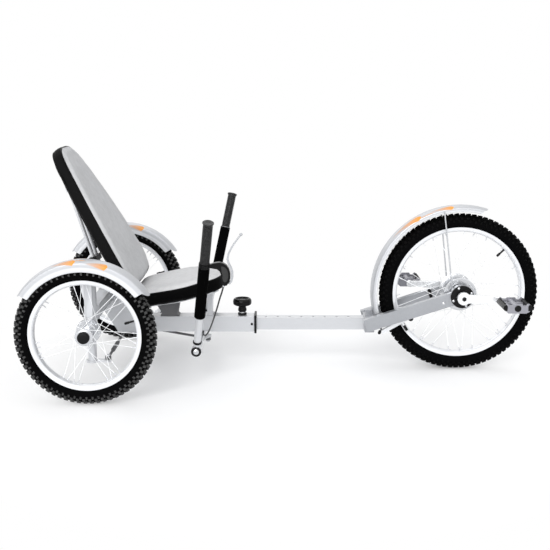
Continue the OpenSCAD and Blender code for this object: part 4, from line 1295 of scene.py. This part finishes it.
def carried_over():
    """Frame, fork, links and cranks, with their edges broken; the fork has a darker copy of the frame paint
    as painted shade, the lever tubes, knuckles and back strut a lighter one as painted light.
    """
    for node, bevel in (("main_tube", 1.6), ("rear_beam", 1.4), ("gusset_plates", 0.7), ("seat_post", 0.8),
                        ("seat_pan", 0.8), ("back_post", 1.0), ("boom_tube", 1.2), ("steering_bar", 0.8)):
        softened(node, FRAME_PAINT, "frame_paint", bevel)
    softened("fork", FORK_PAINT_PAINTED_SHADE, "frame_paint", 2.2)
    for node in ("lever_tubes", "knuckle_right", "knuckle_left"):
        softened(node, FRAME_PAINT_PAINTED_LIGHT, "frame_paint", 0.7)
    for node, material, slot, bevel in (
            ("tube_collar", BLACK_PLASTIC, "black_plastic", 1.2),
            ("seat_bracket", SLEEVE_GREY, "black_steel", 0.8),
            ("back_hinges", BLACK_STEEL, "black_steel", 0.8),
            ("steering_pivot", ZINC, "zinc_steel", 0.6),
            ("tie_rod", SLEEVE_GREY, "zinc_steel", 0.6),
            ("drag_link", SLEEVE_GREY, "zinc_steel", 0.6),
            ("bearing_plates", BLACK_PLASTIC, "black_plastic", 1.4),
            ("fender_stays", ZINC, "spoke_steel", 0.0),
            ("crankset", CRANK_ALLOY, "crank_metal", 1.2)):
        softened(node, material, slot, bevel)
    strut_foot = at(-34, 0, 362)
    strut_lean = math.radians(17)
    strut_way = Vector((-math.sin(strut_lean), 0, math.cos(strut_lean)))
    clamp_half = 9.4 * MM

    def clamp(point):
        return 1 if abs((point - strut_foot).dot(strut_way)) < clamp_half else 0

    softened("back_strut", [FRAME_PAINT_PAINTED_LIGHT, BLACK_PLASTIC], "frame_paint", 0.7, clamp)


# ---------------------------------------------------------------- stage

def floor_finish():
    """A matt pale floor that runs out to plain white with distance, where only the camera looks."""
    material = finish("floor_white", (0.97, 0.97, 0.97), 0.9, spread=0.0, wear=0.02, depth=0.0, specular=0.0)
    tree = material.node_tree
    clear_of_trike, whitening = 0.45, 1.4
    length = put(tree, "ShaderNodeVectorMath", {0: object_place(tree)}, operation="LENGTH")
    far = maths(tree, "SUBTRACT", length.outputs["Value"], clear_of_trike)
    far = maths(tree, "MULTIPLY", far, whitening, clamp=True)
    rays = put(tree, "ShaderNodeLightPath")
    seen = maths(tree, "MULTIPLY", far, rays.outputs["Is Camera Ray"])
    white = put(tree, "ShaderNodeEmission", {"Color": (1, 1, 1)})
    mix = put(tree, "ShaderNodeMixShader", {
        0: seen, 1: tree.nodes["Principled BSDF"].outputs[0], 2: white.outputs[0]})
    feed(tree, tree.nodes["Material Output"], {"Surface": mix.outputs[0]})
    return material


def surround():
    """A soft sky that lights the trike, and plain white wherever it is seen or mirrored."""
    world = bpy.data.worlds.new("surround")
    world.use_nodes = True
    tree = world.node_tree
    tree.nodes.clear()
    rays = put(tree, "ShaderNodeLightPath").outputs
    seen = maths(tree, "MAXIMUM", rays["Is Camera Ray"], rays["Is Glossy Ray"])
    seen = maths(tree, "MAXIMUM", seen, rays["Is Transmission Ray"])
    soft = put(tree, "ShaderNodeBackground", {"Color": (0.97, 0.98, 1), "Strength": 0.6})
    white = put(tree, "ShaderNodeBackground", {"Color": (1, 1, 1), "Strength": 1.0})
    mix = put(tree, "ShaderNodeMixShader", {0: seen, 1: soft.outputs[0], 2: white.outputs[0]})
    put(tree, "ShaderNodeOutputWorld", {"Surface": mix.outputs[0]})
    return world


def stage():
    """Camera, soft light, and a pale floor under a white surround."""
    scene = bpy.context.scene
    camera = bpy.data.objects.new("camera", bpy.data.cameras.new("camera"))
    scene.collection.objects.link(camera)
    camera.data.lens = 58.91
    camera.data.sensor_width = 36
    camera.location = (-0.0351, -2.8153, 0.9033)
    camera.rotation_euler = (math.radians(90 - 11.966), 0, 0.00459)
    scene.camera = camera

    for name, energy, spread, turn in (
            ("key", 2.15, 40, (64, 0, -16)), ("fill", 0.6, 80, (30, 0, 50)), ("rim", 0.5, 60, (-50, 0, 20))):
        lamp = bpy.data.lights.new(name, "SUN")
        lamp.energy = energy
        lamp.angle = math.radians(spread)
        sun = bpy.data.objects.new(name, lamp)
        sun.rotation_euler = [math.radians(a) for a in turn]
        scene.collection.objects.link(sun)
    scene.world = surround()

    reach, height = 30, -0.0004
    bm = bmesh.new()
    bm.faces.new([bm.verts.new((x * reach, y * reach, height))
                  for x, y in ((-1, -1), (1, -1), (1, 1), (-1, 1))])
    mesh = bpy.data.meshes.new("floor")
    bm.to_mesh(mesh)
    bm.free()
    floor = bpy.data.objects.new("floor", mesh)
    scene.collection.objects.link(floor)
    mesh.materials.append(floor_finish())
    scene.view_settings.view_transform = "Standard"


stage()
for wheel_side, wheel_axle, wheel_out in (("right", REAR_RIGHT, -1), ("left", REAR_LEFT, 1)):
    rear_wheel(wheel_side, wheel_axle, wheel_out)
front_wheel()
all_fenders()
seat_and_back()
grips_and_foams()
brake_control()
bar_ends()
brake_cable()
knob()
for pedal_side in ("right", "left"):
    pedal(pedal_side)
drive()
front_details()
frame_details()
carried_over()
